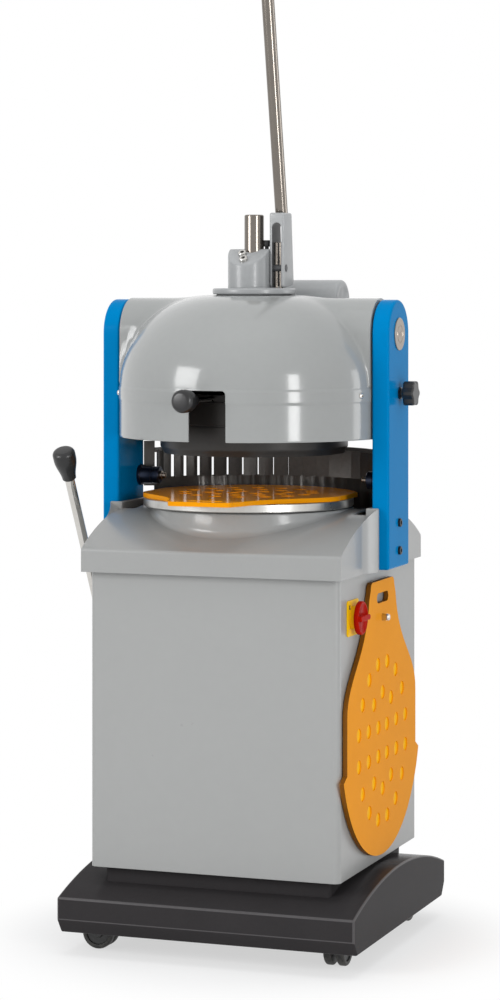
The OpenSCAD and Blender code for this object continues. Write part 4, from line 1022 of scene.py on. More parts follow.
@dataclass
class TopCover:
    """The moulded cover: arched top with a rolled lip, round seat and collars at the columns."""

    half: float = 0.2725
    arch_radius: float = 0.540
    crest: float = 0.878
    lip: float = 0.008
    wall: float = 0.004
    seat_top: float = 0.879
    seat_radius: float = 0.205
    seat_flare: float = 0.012
    hole: float = 0.118
    collar_out: float = 0.2888
    collar_in: float = 0.2623
    collar_grow: float = 0.008
    bed_in: float = 0.235
    bed_out: float = 0.2738
    bed_front: float = -0.0603
    bed_back: float = 0.0683
    bed_top: float = 0.8683
    sweep_in: float = 0.268
    sweep_start: float = 0.2722
    sweep_length: float = 0.067

    def __post_init__(self) -> None:
        """Finds the middle of the arch's depth and the cover's foot."""
        lo, hi = span("top_cover")
        self.middle, self.foot = (lo.y + hi.y) / 2, lo.z

    def height(self, y: float) -> float:
        """Height of the arch at a depth."""
        off = y - self.middle
        return self.crest - self.arch_radius + math.sqrt(self.arch_radius**2 - off * off)

    def profile(self, inset: float) -> list[Flat]:
        """Draws the cover's side outline.

        Args:
            inset: Distance inside the outer faces.

        Returns:
            Points as Y and Z.
        """
        lo, hi = span("top_cover")
        middle, half = self.middle, (hi.y - lo.y) / 2 - inset
        centre_z = self.crest - self.arch_radius
        radius, lip = self.arch_radius - inset, self.lip - inset
        off = half - lip
        rise = math.sqrt((radius - lip) ** 2 - off * off)
        turn = math.degrees(math.atan2(rise, off))
        foot = lo.z - (0.001 if inset else 0.0)
        back = arc((middle + off, centre_z + rise), lip, 0, turn, 8)
        arch = arc((middle, centre_z), radius, turn, 180 - turn, 40)
        front = arc((middle - off, centre_z + rise), lip, 180 - turn, 180, 8)
        return [(middle - half, foot), (middle + half, foot), *back, *arch[1:-1], *front]

    def seat(self) -> Piece:
        """Models the round seat, whose wall flares out onto the arch.

        Returns:
            The seat's skin.
        """
        edge, flare, top, wall = self.seat_radius, self.seat_flare, self.seat_top, self.wall
        turns = [i * math.pi / 24 for i in range(13)]
        rim = [(self.hole, 0.0), (0.16, 0.0), (edge - 0.003, 0.0), (edge - 0.0009, -0.0009), (edge, -0.003)]
        skirt = [(edge + flare * (1 - math.cos(t)), -1.0 - t) for t in turns]
        under = [(edge - wall, -1.0), (edge - wall, -wall), (self.hole, -wall)]
        skin = Bench.lathe("seat", [*rim, *skirt, *under], ORIGIN, ALONG_Z, 160)

        def settle(point: Vector) -> Vector:
            """Lifts the rim to its height and lays the skirt, drawn far below it, onto the arch.

            Args:
                point: A point as turned.

            Returns:
                Its place on the cover.
            """
            if point.z > -0.5:
                return Vector((point.x, point.y, top + point.z))
            foot = min(self.height(point.y) - 0.0004, top - 0.0036)
            inner = math.hypot(point.x, point.y) < edge - 0.001
            room = min(flare, (top - 0.0035 - foot) * 0.9)
            rise = 0.0 if inner else room * (1 - math.sin(-1.0 - point.z))
            return Vector((point.x, point.y, foot + rise - (wall if inner else 0.0)))

        Bench.move(skin, settle)
        return Bench.smooth(skin, 50)

    def collar(self, side: int) -> Piece:
        """Models the upright that frames a column's foot.

        Args:
            side: -1 for the left column and 1 for the right one.

        Returns:
            The collar.
        """
        lo, hi = column_span(side)
        low, grow = self.foot - CLEAR, self.collar_grow
        near, far = sorted((side * self.collar_in, side * self.collar_out))
        plan = rounded_box((near, lo.y - grow), (far, hi.y + grow), 0.003)
        collar = Bench.prism("collar", plan, Axis.Z, self.foot, self.seat_top + 0.008)
        a, b = sorted((side * self.half, side * 0.35))
        Bench.cut(collar, Bench.block("slot", (a, lo.y - GAP, low), (b, hi.y + GAP, 1.0)))
        a, b = sorted((side * self.bed_in, side * self.bed_out))
        Bench.cut(collar, Bench.block("bed", (a, self.bed_front, low), (b, self.bed_back, self.bed_top)))
        Bench.round(collar, 0.0025, 3)
        return collar

    def flare(self, side: int) -> Piece:
        """Models the hollow sweep from the cover's side out to a collar's front face.

        Args:
            side: -1 for the left column and 1 for the right one.

        Returns:
            The sweep.
        """
        near, start, length, steps = self.sweep_in, self.sweep_start, self.sweep_length, 14
        far, end = self.collar_out - 0.0005, column_span(side)[0].y - self.collar_grow
        shares = [i / steps for i in range(steps + 1)]
        curve = [(side * (start + (far - start) * t * t), end - length * (1 - t)) for t in shares]
        outline = [*curve, (side * near, end + 0.002), (side * near, end - length)]
        sweep = Bench.prism("flare", outline, Axis.Z, self.foot, 1.0)

        def settle(point: Vector) -> Vector:
            """Lays the top onto the arch and lifts its outer edge towards the collar.

            Args:
                point: A point of the plain prism.

            Returns:
                Its place on the cover.
            """
            if point.z < 0.95:
                return point
            share = min(max(1 - (end - point.y) / length, 0.0), 1.0)
            arch = self.height(point.y) - 0.0005
            outer = abs(point.x) > near + 0.001
            return Vector((point.x, point.y, arch + (self.seat_top + 0.007 - arch) * share**2 * outer))

        Bench.move(sweep, settle)
        return Bench.smooth(sweep, 50)

    def build(self) -> None:
        """Builds the cover."""
        half, low = self.half, self.foot
        inner = half - self.wall
        shell = Bench.prism("cover", self.profile(0.0), Axis.X, -half, half)
        cuts = [Bench.prism("hollow", self.profile(self.wall), Axis.X, -inner, inner)]
        cuts.append(Bench.rod("mouth", (0, 0, low), (0, 0, 1.0), self.seat_radius - self.wall, steps=160))
        for side in LEFT_RIGHT:
            lo, hi = column_span(side)
            a, b = sorted((side * self.bed_in, side * 0.30))
            cuts.append(Bench.block("foot", (a, lo.y - GAP, low - CLEAR), (b, hi.y + GAP, 0.92)))
        Bench.cut(shell, *cuts)
        Bench.round(shell, 0.0030, 4, 40)
        parts = [shell, self.seat()]
        parts += [make(side) for make in (self.collar, self.flare) for side in LEFT_RIGHT]
        cover = Bench.join("top_cover_moulding", parts)
        fit(cover, "frame", "cover_grey", [Finishes.COVER_GREY], "top_cover")


@dataclass
class Columns:
    """The two blue columns with their screws, pivot discs, clamp knob, buffers and guard."""

    corner: float = 0.005
    screw_radius: float = 0.0085
    screw_deep: float = 0.005
    knob_radius: float = 0.027
    knob_thick: float = 0.024
    lobes: int = 6
    lobe_depth: float = 0.0055
    buffer_radius: float = 0.018
    buffer_length: float = 0.046
    buffer_tip: float = 0.058
    band_top: float = 0.927
    rim_height: float = 0.010
    rim_wide: float = 0.0035
    guard_from: float = 18.0
    bars: int = 20
    end_bar: float = 0.42
    bar_width: float = 0.0312
    bar_half_thick: float = 0.00125
    bar_turn: float = math.radians(16)
    tab_low: float = 0.910
    tab_top: float = 1.004

    def column(self, side: str) -> None:
        """Models one column with its round top.

        Args:
            side: left or right.
        """
        lo, hi = span(f"{side}_column")
        r, y = (hi.y - lo.y) / 2, (hi.y + lo.y) / 2
        outline = [(lo.y, lo.z), (hi.y, lo.z), *arc((y, hi.z - r), r, 0, 180, 40)]
        column = Bench.prism(f"{side}_side_column", outline, Axis.X, lo.x, hi.x)
        Bench.round(column, self.corner, 5)
        fit(column, "frame", "column_blue", [Finishes.BLUE], f"{side}_column")

    def screws(self) -> None:
        """Models the socket screws at the columns' feet."""
        lo, hi = span("column_screws")
        r, deep, y = self.screw_radius, self.screw_deep, (lo.y + hi.y) / 2
        shank = [(0, -0.059), (0.005, -0.059), (0.005, 0)]
        section = [*shank, (r, 0), (r, deep - 0.0008), (r - 0.0008, deep), (0, deep)]
        heads = []
        for side in LEFT_RIGHT:
            for z in (lo.z + r, hi.z - r):
                face = side * (hi.x - deep)
                head = Bench.lathe("screw", section, (face, y, z), (side, 0, 0), 32)
                a, b = sorted((face + side * 0.002, face + side * 0.01))
                hexagon = arc((y, z), 0.0045, 0, 300, 5)
                heads.append(Bench.cut(head, Bench.prism("socket", hexagon, Axis.X, a, b)))
        assemble("column_socket_screws", heads, "frame", "screw_black", [Finishes.SCREW], "column_screws")

    def pivots(self) -> None:
        """Models the thin pivot discs on the columns' outer faces."""
        lo, hi = span("pivot_pins")
        _, y, z = between(lo, hi)
        r, face, thick = (hi.z - lo.z) / 2, column_span(1)[1].x + 0.0001, 0.0026
        groove = thick - 0.0008
        section = [
            (0, -0.0625), (0.016, -0.0625), (0.016, 0), (r, 0), (r, thick - 0.001), (r - 0.001, thick),
            (0.0190, thick), (0.0185, groove), (0.0165, groove), (0.0160, thick), (0.004, thick + 0.0003),
            (0, thick - 0.002),
        ]
        discs = [Bench.lathe("disc", section, (side * face, y, z), (side, 0, 0), 64) for side in LEFT_RIGHT]
        assemble("pivot_discs", discs, "frame", "steel", [Finishes.STEEL_ACROSS], "pivot_pins")

    def clamp_knob(self) -> None:
        """Models the lobed clamp knob with its stem and washer."""
        lo, hi = span("star_knob")
        _, y, z = pivot("clamp_knob_turn")
        count, under, outline = 72, hi.x - self.knob_thick, []
        for i in range(count):
            angle = math.tau * i / count
            r = self.knob_radius - self.lobe_depth * (1 - math.cos(self.lobes * angle)) / 2
            outline.append((y + r * math.cos(angle), z + r * math.sin(angle)))
        head = Bench.prism("head", outline, Axis.X, under, hi.x)
        Bench.round(head, 0.004, 4, 50)
        column = column_span(1)[1].x + GAP
        top = under - column + 0.002
        washer = [(0, 0), (0.012, 0), (0.012, 0.003), (0.0115, 0.0036), (0.010, 0.0036)]
        neck = Bench.lathe(
            "neck", [*washer, (0.0095, 0.006), (0.0105, top), (0, top)], (column, y, z), ALONG_X, 40
        )
        stem = Bench.rod("stem", (lo.x, y, z), (column + 0.002, y, z), 0.006)
        parts = [head, neck, stem]
        assemble("clamp_star_knob", parts, "clamp_knob", "grip_black", [Finishes.GRIP_AND_PAINTED_SHADE], "star_knob")

    def buffers(self) -> None:
        """Models the round buffers and their steel pins."""
        lo, hi = span("column_buffers")
        _, y, z = between(lo, hi)
        r, long, tip, flange = self.buffer_radius, self.buffer_length, self.buffer_tip, (hi.z - lo.z) / 2
        groove = r - 0.0012
        rubber = [
            (0, 0), (flange, 0), (flange, 0.005), (flange - 0.001, 0.006), (r + 0.001, 0.006), (r, 0.008),
            (r, long * 0.6), (groove, long * 0.62), (groove, long * 0.7), (r, long * 0.72), (r, long - 0.002),
            (r - 0.002, long), (0, long),
        ]
        pin = [
            (0, long - 0.002), (0.009, long - 0.002), (0.009, long + 0.004), (0.006, long + 0.005),
            (0.006, tip - 0.001), (0.005, tip), (0, tip),
        ]

        def pair(section: list[Flat], steps: int) -> list[Piece]:
            """Turns a section on both columns' inner faces."""
            return [Bench.lathe("half", section, (s * hi.x, y, z), (-s, 0, 0), steps) for s in LEFT_RIGHT]

        rubbers = pair(rubber, 48)
        assemble("column_buffer_rubbers", rubbers, "frame", "rubber", [Finishes.BUFFER], "column_buffers")
        assemble("column_buffer_pins", pair(pin, 32), "frame", "steel", [Finishes.STEEL_ACROSS])

    def guard(self) -> None:
        """Models the rear guard: a sheet band, a rim, slanting bars between them and tabs to the columns."""
        hi = span("rear_guard")[1]
        outer, low, high, first = hi.y, self.band_top, hi.z - self.rim_height, self.guard_from
        band = Bench.softened("rear_guard", "band", 0.0006, 1)
        Bench.bisect(band, (0, 0, low - 0.0002), ALONG_Z)
        last, near = 180 - first, outer - self.rim_wide
        plan = [*arc((0, 0), outer, first, last, 96), *arc((0, 0), near, last, first, 96)]
        rim = Bench.prism("rim", plan, Axis.Z, high, hi.z)
        Bench.round(rim, 0.0006, 1)
        parts, half = [band, rim], self.bar_width / 2
        middle = outer - half * math.sin(self.bar_turn) - 0.0015

        def slat(spots: Sequence[Vector], bottom: float, top: float) -> None:
            """Adds an upright strip on four corners."""
            parts.append(Bench.prism("slat", [tuple(spot) for spot in spots], Axis.Z, bottom, top))

        for i in (self.end_bar, *range(1, self.bars), self.bars - self.end_bar):
            turn = math.radians(first + (180 - 2 * first) * i / self.bars)
            spot = Vector((math.cos(turn), math.sin(turn))) * middle
            slant = turn + math.pi / 2 + self.bar_turn
            along = Vector((math.cos(slant), math.sin(slant))) * half
            across = Vector((-math.sin(slant), math.cos(slant))) * self.bar_half_thick
            left, right = spot - along, spot + along
            corners = [left - across, right - across, right + across, left + across]
            slat(corners, low - 0.002, high + 0.002)
        column, start = column_span(-1)[1], math.radians(first)
        for side in LEFT_RIGHT:
            end = Vector((side * math.cos(start), math.sin(start))) * (outer - 0.002)
            post = Vector((side * -column.x, column.y - 0.0005))
            across = (end - post).orthogonal().normalized() * 0.0015
            tab = [end - across, end + across, post + across, post - across]
            slat(tab if side > 0 else tab[::-1], self.tab_low, self.tab_top)
        assemble("rear_slatted_guard", parts, "frame", "guard_dark", [Finishes.GUARD], "rear_guard")

    def build(self) -> None:
        """Builds both columns and what is on them."""
        for side in ("left", "right"):
            self.column(side)
        for step in (self.screws, self.pivots, self.clamp_knob, self.buffers, self.guard):
            step()


@dataclass(frozen=True)
class PlateSize:
    """Outline sizes of one moulding plate, and the finish of its edge, which on the spare plate is a painted
    shade.
    """

    radius: float
    half_width: float
    handle_half: float
    pocket_drop: float
    edge: Finish


@dataclass
class MouldingPlates:
    """The round table, the moulding plate on it and the spare plate on the cabinet's side."""

    in_use: PlateSize = PlateSize(0.220, 0.211, 0.068, 0.0, Finishes.ORANGE)
    # The spare plate's side faces are painted darker, as painted shade.
    spare: PlateSize = PlateSize(0.264, 0.229, 0.079, 0.035, Finishes.PLATE_EDGE_SHADE)
    thick: float = 0.009
    handle_end: float = 0.288
    shoulder: float = -0.084
    bend: float = 0.038
    neck: float = 0.255
    corner: float = 0.014
    pocket_rings: tuple[tuple[int, float], ...] = ((4, 0.155), (10, 0.367), (16, 0.6))
    pocket_radius: float = 0.014
    pocket_depth: float = 0.0025
    slot_half: float = 0.028
    slot_radius: float = 0.010
    slot_off: float = 0.035
    peg_off: float = 0.075
    peg_hole: float = 0.0073
    crank_x: float = 0.15
    crank_y: float = 0.04
    crank_seat: float = 0.00805
    crank_deep: float = 0.011

    def outline(self, size: PlateSize) -> list[Flat]:
        """Draws a plate's outline, its handle towards +Y.

        Args:
            size: The plate's own sizes.

        Returns:
            Points round the whole plate.
        """
        tip, half, bend, neck = size.handle_half, size.half_width, self.bend, self.neck
        start = math.degrees(math.asin(self.shoulder / size.radius))
        pulls = [(half, bend), (half, bend + 0.080), (tip + 0.030, neck - 0.115), (tip + 0.009, neck)]
        sweep = []
        for i in range(17):
            t = i / 16
            shares = ((1 - t) ** 3, 3 * (1 - t) ** 2 * t, 3 * (1 - t) * t * t, t**3)
            sweep.append(tuple(sum(s * p[k] for s, p in zip(shares, pulls)) for k in (0, 1)))
        right = [
            *arc((0, 0), size.radius, -90, start, 36),
            (half, self.shoulder + 0.012),
            *sweep,
            *arc((tip - self.corner, self.handle_end - self.corner), self.corner, 0, 90, 8),
        ]
        return [*right, *[(-x, y) for x, y in reversed(right[1:])]]

    def plate(self, name: str, size: PlateSize, place: PointRule, body: str, node: str) -> None:
        """Models one plate with its pockets, slot and peg hole.

        Args:
            name: Name of the piece.
            size: The plate's own sizes.
            place: Rule that takes a flat plate to its place.
            body: The body that carries it.
            node: The frame's node that it stands for.
        """
        thick, above, cutters = self.thick, 0.02, []
        plate = Bench.prism(name, self.outline(size), Axis.Z, 0.0, thick)
        floor = thick - self.pocket_depth
        for count, ring in self.pocket_rings:
            for i in range(count):
                a = (i + 0.5) * math.tau / count
                x, y = ring * size.radius * math.cos(a), ring * size.radius * math.sin(a) - size.pocket_drop
                ends = (x, y, floor), (x, y, above)
                cutters.append(Bench.rod("pocket", *ends, self.pocket_radius, steps=40))
        y, r = self.handle_end - self.slot_off, self.slot_radius
        slot = rounded_box((-self.slot_half - r, y - r), (self.slot_half + r, y + r), r * 0.999, 10)
        cutters.append(Bench.prism("slot", slot, Axis.Z, -CLEAR, above))
        y = self.handle_end - self.peg_off
        cutters.append(Bench.rod("hole", (0, y, -CLEAR), (0, y, above), self.peg_hole))
        Bench.cut(plate, Bench.join("cutters", cutters))
        Bench.round(plate, 0.0008, 2, 40)
        fit(plate, body, "plate_orange", [Finishes.ORANGE, Finishes.POCKET_PAINTED_LIGHT, size.edge], node)
        brim = thick - 0.4 * self.pocket_depth
        # The pocket floors take the lighter yellow, as painted light.
        pick_faces(plate, 1, lambda f: 0.004 < f.center.z < brim and f.normal.z > 0.9)
        # The side faces take the plate's edge finish, a painted shade on the spare plate.
        pick_faces(plate, 2, lambda f: abs(f.normal.z) < 0.3 and 0.002 < f.center.z < thick - 0.002)
        Bench.move(plate, place)

    def build(self) -> None:
        """Builds the table and both plates."""
        x, y = TABLE_AT
        lo, hi = span("table_disc")
        r, h = (hi.x - lo.x) / 2, hi.z - lo.z
        section = [(0, 0), (r - 0.002, 0), (r, 0.002), (r, h - 0.001), (r - 0.001, h), (0, h)]
        table = Bench.lathe("round_table", section, (x, y, lo.z), ALONG_Z, 128)
        for side in LEFT_RIGHT:
            spot, top = (x + side * self.crank_x, y + self.crank_y), lo.z + self.crank_deep
            Bench.cut(table, Bench.rod("seat", (*spot, 0.85), (*spot, top), self.crank_seat))
        assemble("round_table", [table], "table", "alloy", [Finishes.ALLOY], "table_disc")
        low = span("moulding_plate")[0].z
        near, far = span("spare_plate")
        foot, middle = far.z - self.handle_end, (near.y + far.y) / 2

        def laid(p: Vector) -> Vector:
            """Lays a plate on the table, its handle towards the front."""
            return Vector((x - p.x, y - p.y, low + p.z))

        def hung(p: Vector) -> Vector:
            """Hangs a plate on the cabinet's right side."""
            return Vector((near.x + p.z, middle + p.x, foot + p.y))

        self.plate("moulding_plate_in_use", self.in_use, laid, "plate", "moulding_plate")
        self.plate("spare_plate_hung", self.spare, hung, "spare", "spare_plate")


@dataclass
class PressHead:
    """The domed head with its saddle, cast block, drum and lever posts."""

    radius: float = 0.275
    belt_top: float = 1.124
    belt_low: float = 1.099
    belt_out: float = 0.0015
    skirt: float = 1.022
    shoulder: float = 0.186
    wall: float = 0.004
    half: float = 0.2698
    back: float = 0.225
    pivot_y: float = 0.004
    pivot_z: float = 1.233
    saddle: float = 0.072
    saddle_limit: float = 0.40
    blend: float = 0.022
    notch: float = 0.078
    notch_round: float = 0.008
    screw_turn: float = math.radians(70)
    flange: float = 0.085
    flange_top: float = 1.325
    neck: float = 0.038
    bore: float = 0.0202
    block_slope: float = math.radians(37)
    lock_x: float = 0.024
    lock_y: float = 0.010

    def saddle_reach(self, way: Vector) -> float:
        """How far the saddle reaches from the dome's middle along a direction.

        Args:
            way: Unit direction from the middle of the belt's top.

        Returns:
            The distance, at most the saddle's limit.
        """
        limit, up = self.saddle_limit, self.pivot_z - self.belt_top
        side = (self.saddle + math.copysign(self.pivot_y, way.y)) / abs(way.y) if abs(way.y) > 1e-6 else limit
        if side * way.z <= up:
            return min(side, limit)
        a = way.y**2 + way.z**2
        b = -2 * (way.y * self.pivot_y + way.z * up)
        c = self.pivot_y**2 + up * up - self.saddle**2
        return min((-b + math.sqrt(max(b * b - 4 * a * c, 0.0))) / (2 * a), limit)

    def dome_reach(self, way: Vector) -> float:
        """How far the bare dome reaches from the middle of its belt along a direction.

        Args:
            way: Unit direction from the middle of the belt's top.

        Returns:
            The distance.
        """
        across = math.hypot(way.x, way.y)
        flat = self.radius - self.shoulder
        if way.z > 1e-6 and self.shoulder * across / way.z <= flat:
            return self.shoulder / way.z
        b = across * flat
        return b + math.sqrt(b * b - flat * flat + self.shoulder**2)

    def reach(self, way: Vector) -> float:
        """How far the dome and the saddle, blended, reach along a direction.

        Args:
            way: Unit direction from the middle of the belt's top.

        Returns:
            The distance.
        """
        near, far = self.dome_reach(way), self.saddle_reach(way)
        share = max(self.blend - abs(near - far), 0.0) / self.blend
        return max(near, far) + share**3 * self.blend / 6

    def section(self) -> list[Flat]:
        """Draws half of the dome's outside, from the crown to the skirt.

        Returns:
            Points as radius and height.
        """
        r, out, skirt = self.radius, self.belt_out, self.skirt
        flat = r - self.shoulder
        crown = [(flat * i / 8, self.belt_top + self.shoulder) for i in range(8)]
        step = [(0.0, 0.004), (0.3, 0.0015), (0.85, -0.0008), (1.0, -0.003)]
        return [
            *crown,
            *arc((flat, self.belt_top), self.shoulder, 90, 3, 84),
            *[(r + out * share, self.belt_top + rise) for share, rise in step],
            *[(r + out * share, self.belt_low - rise) for share, rise in reversed(step)],
            (r, skirt + 0.004), (r - 0.0012, skirt + 0.0012), (r - 0.004, skirt), (0, skirt),
        ]

    def shade(self, skin: Piece) -> None:
        """Sets the outer skin's normals from its own rule, so that reflections run smoothly.

        Args:
            skin: The finished dome.
        """
        centre, step, belt = Vector((0, 0, self.belt_top)), 0.0004, self.belt_top + 0.005
        mesh = skin.data

        def depth(point: Vector) -> float:
            """How far a point lies outside the skin."""
            away = point - centre
            return away.length - self.reach(away.normalized())

        @cache
        def slope(index: int) -> Vector:
            """The skin's own normal at a vertex."""
            at, sides = mesh.vertices[index].co, [axis.vector * step for axis in Axis]
            return Vector([depth(at + s) - depth(at - s) for s in sides]).normalized()

        normals = [corner.vector.copy() for corner in mesh.corner_normals]
        for face in mesh.polygons:
            flat = abs(face.center.x) > self.half - 0.0001 or face.center.y > self.back - 0.0001
            upright = abs(face.normal.z) < 0.02 and not flat
            if flat or (face.center.z < belt and not upright):
                continue
            for loop in face.loop_indices:
                index = mesh.loops[loop].vertex_index
                at = mesh.vertices[index].co
                true = slope(index) if face.center.z > belt else Vector((at.x, at.y, 0)).normalized()
                if true.dot(face.normal) > 0.5:
                    normals[loop] = true
        mesh.normals_split_custom_set(normals)

    def dome(self) -> None:
        """Models the dome and saddle as one smooth skin with a wall, a notch and flat sides."""
        skin = Bench.lathe("press_head_dome", self.section(), ORIGIN, ALONG_Z, 360)
        centre = Vector((0, 0, self.belt_top))

        def swell(point: Vector) -> Vector:
            """Takes the dome out to where it and the saddle reach.

            Args:
                point: A point of the turned dome.

            Returns:
                Its place on the blended skin.
            """
            if point.z < self.belt_top + 0.0045:
                return point
            way = (point - centre).normalized()
            return centre + way * self.reach(way)

        Bench.move(skin, swell)
        for side in (1, -1):
            Bench.bisect(skin, (side * self.half, 0, 0), (side, 0, 0))
        Bench.bisect(skin, (0, self.back, 0), ALONG_Y)
        Bench.edit(skin)
        bpy.ops.mesh.select_all(action="DESELECT")
        bpy.ops.object.mode_set(mode="OBJECT")
        for face in skin.data.polygons:
            face.select = face.normal.z < -0.9 and face.center.z < self.skirt + 0.001
        bpy.ops.object.mode_set(mode="EDIT")
        bpy.ops.mesh.delete(type="FACE")
        Bench.close(outward=False)
        Bench.apply(skin, "SOLIDIFY", thickness=self.wall, offset=-1.0, use_even_offset=False)
        half, r, low = self.notch / 2, self.notch_round, self.skirt - CLEAR
        top = self.belt_top + 0.0005 - r
        corners = [*arc((half - r, top), r, 0, 90, 6), *arc((r - half, top), r, 90, 180, 6)]
        outline = [(half, low), *corners, (-half, low)]
        Bench.cut(skin, Bench.prism("notch", outline, Axis.Y, -self.radius - 0.02, -self.radius + 0.06))
        Bench.smooth(skin, 42)
        self.shade(skin)
        fit(skin, "head", "head_grey", [Finishes.HEAD_GREY], "dome_cover", "saddle_cover")

    @staticmethod
    def capped(cap: list[Flat], hexagon: list[Flat], foot: Numbers, way: Vector, steps: int) -> Piece:
        """Turns a screw head from its section and cuts a hexagon socket into it."""
        head = Bench.lathe("screw", cap, foot, way, steps)
        return Bench.cut(head, Bench.lathe("socket", hexagon, foot, way, 6))

    def belt_screws(self) -> None:
        """Models the two screws on the belt."""
        lo, hi = span("dome_screws")
        z, r, heads = (lo.z + hi.z) / 2, (hi.z - lo.z) / 2, []
        dome = [(0, 0), (r, 0), (r, 0.0016), (r * 0.85, 0.0034), (r * 0.5, 0.0046), (0, 0.005)]
        hexagon = [(0, 0.002), (0.0028, 0.002), (0.0028, 0.009), (0, 0.009)]
        for side in LEFT_RIGHT:
            turn = self.screw_turn * side
            way = Vector((math.sin(turn), -math.cos(turn), 0))
            foot = way * (self.radius + self.belt_out - 0.001)
            heads.append(self.capped(dome, hexagon, (foot.x, foot.y, z), way, 28))
        assemble("belt_screw_heads", heads, "head", "steel", [Finishes.CHROME], "dome_screws")

    def cast_block(self) -> None:
        """Models the cast block with its flange and neck."""
        lo, hi = span("head_block")
        left, right, rear, front = -0.0505, 0.0355, 0.030, -0.010
        r, x = (right - left) / 2, (right + left) / 2
        outline = [(right, rear), (left, rear), *arc((x, front), r, 180, 360, 24)]
        rim, top, low, bore = self.flange, self.flange_top, self.belt_top + self.shoulder, self.bore
        body = Bench.prism("body", outline, Axis.Z, top - 0.002, hi.z)
        brow = Vector((0, front, hi.z))
        way = Vector((0, -math.sin(self.block_slope), math.cos(self.block_slope)))
        Bench.bisect(body, brow, way)
        Bench.round(body, 0.0035, 4, 35)
        Bench.cut(body, Bench.rod("bore", (0, 0, lo.z - CLEAR), (0, 0, hi.z + 0.02), bore, steps=48))
        section = [
            (bore, lo.z), (self.neck, lo.z), (self.neck, low), (rim - 0.009, low), (rim - 0.008, low + 0.003),
            (rim - 0.003, low + 0.0045), *arc((rim - 0.004, top - 0.009), 0.004, -60, 0, 4),
            *arc((rim - 0.004, top - 0.004), 0.004, 0, 90, 5), (0.052, top), (0.048, top + 0.0015),
            (bore, top + 0.0015),
        ]
        flange = Bench.lathe("flange", section, ORIGIN, ALONG_Z, 96)
        assemble("cast_head_block", [body, flange], "head", "cast_grey", [Finishes.CAST_GREY], "head_block")
        self.block_screws(brow, way)

    def block_screws(self, brow: Vector, way: Vector) -> None:
        """Models the two clamp screws on the block's slope and the lock screw on its top.

        Args:
            brow: Point where the slope meets the block's top.
            way: The slope's normal.
        """
        cap = [(0, -0.004), (0.0085, -0.004), (0.0085, 0.0055), (0.0075, 0.0065), (0, 0.0065)]
        hexagon = [(0, 0.002), (0.0045, 0.002), (0.0045, 0.01), (0, 0.01)]
        screws, fall = [], math.tan(self.block_slope)
        for across, ahead in ((-0.016, 0.0145), (-0.008, 0.030)):
            foot = Vector((across, brow.y - ahead, brow.z - ahead * fall))
            screws.append(self.capped(cap, hexagon, foot, way, 32))
        pair = assemble("block_clamp_screws", screws, "head", "steel", [Finishes.CHROME, Finishes.BED_AND_PAINTED_SHADE])
        # The hexagon sockets inside the chrome heads are painted dark, as painted shade.
        pick_faces(pair, 1, lambda f: 0.0015 < (f.center - brow).dot(way) < 0.005)
        x, y, z = self.lock_x, self.lock_y, brow.z
        cap = [(0, 0.005), (0.009, 0.005), (0.010, 0.007), (0.010, 0.016), (0.009, 0.018), (0, 0.018)]
        parts = [
            Bench.rod("stem", (x, y, z - 0.004), (x, y, z + 0.006), 0.004),
            Bench.lathe("head", cap, (x, y, z), ALONG_Z, 28),
        ]
        assemble("block_lock_screw", parts, "head", "screw_black", [Finishes.GRIP_AND_PAINTED_SHADE])

    def drum(self) -> None:
        """Models the drum behind the saddle."""
        lo, hi = span("spring_drum")
        r, edge, long = (hi.z - lo.z) / 2, 0.006, hi.x - lo.x
        y, z, sunk = hi.y - r, hi.z - r, long - 0.0015
        section = [
            (0, 0), (r - edge, 0), *arc((r - edge, edge), edge, -90, 0, 5),
            *arc((r - edge, long - edge), edge, 0, 90, 5), (r * 0.7, long), (r * 0.67, sunk), (0, sunk),
        ]
        drum = Bench.lathe("drum", section, (lo.x, y, z), ALONG_X, 72)
        foot = Bench.block("foot", (0.060, 0.044, 1.253), (0.118, y, 1.265))
        Bench.round(foot, 0.002, 2)
        assemble("rear_spring_drum", [drum, foot], "head", "cast_grey", [Finishes.CAST_GREY], "spring_drum")

    def posts(self) -> None:
        """Models the two lever posts and their fulcrum pin."""
        lo, hi = span("lever_posts")
        x, y, z = pivot("lever_swing")
        parts, long = [], hi.x - lo.x
        for side in LEFT_RIGHT:
            at = x + side * 0.005
            parts.append(Bench.rod("post", (at, y, lo.z), (at, y, hi.z), 0.0045, 0.001))
        pin = [(0, 0), (0.007, 0), (0.008, 0.001), (0.008, long - 0.002), (0.006, long), (0, long)]
        parts.append(Bench.lathe("pin", pin, (lo.x, y, z), ALONG_X, 40))
        finishes = [Finishes.STEEL, Finishes.BED_AND_PAINTED_SHADE]
        piece = assemble("lever_post_pair", parts, "head", "steel", finishes, "lever_posts")

        def of_pin(face: bpy.types.MeshPolygon) -> bool:
            """Tells the pin's faces from the posts'."""
            return abs(face.center.z - z) < 0.011 and (abs(face.normal.z) > 0.03 or abs(face.normal.x) > 0.98)

        # The pin is painted dark, a painted shade that makes its end read as a dark hole.
        pick_faces(piece, 1, of_pin)

    def build(self) -> None:
        """Builds the head."""
        for step in (self.dome, self.belt_screws, self.cast_block, self.drum, self.posts):
            step()


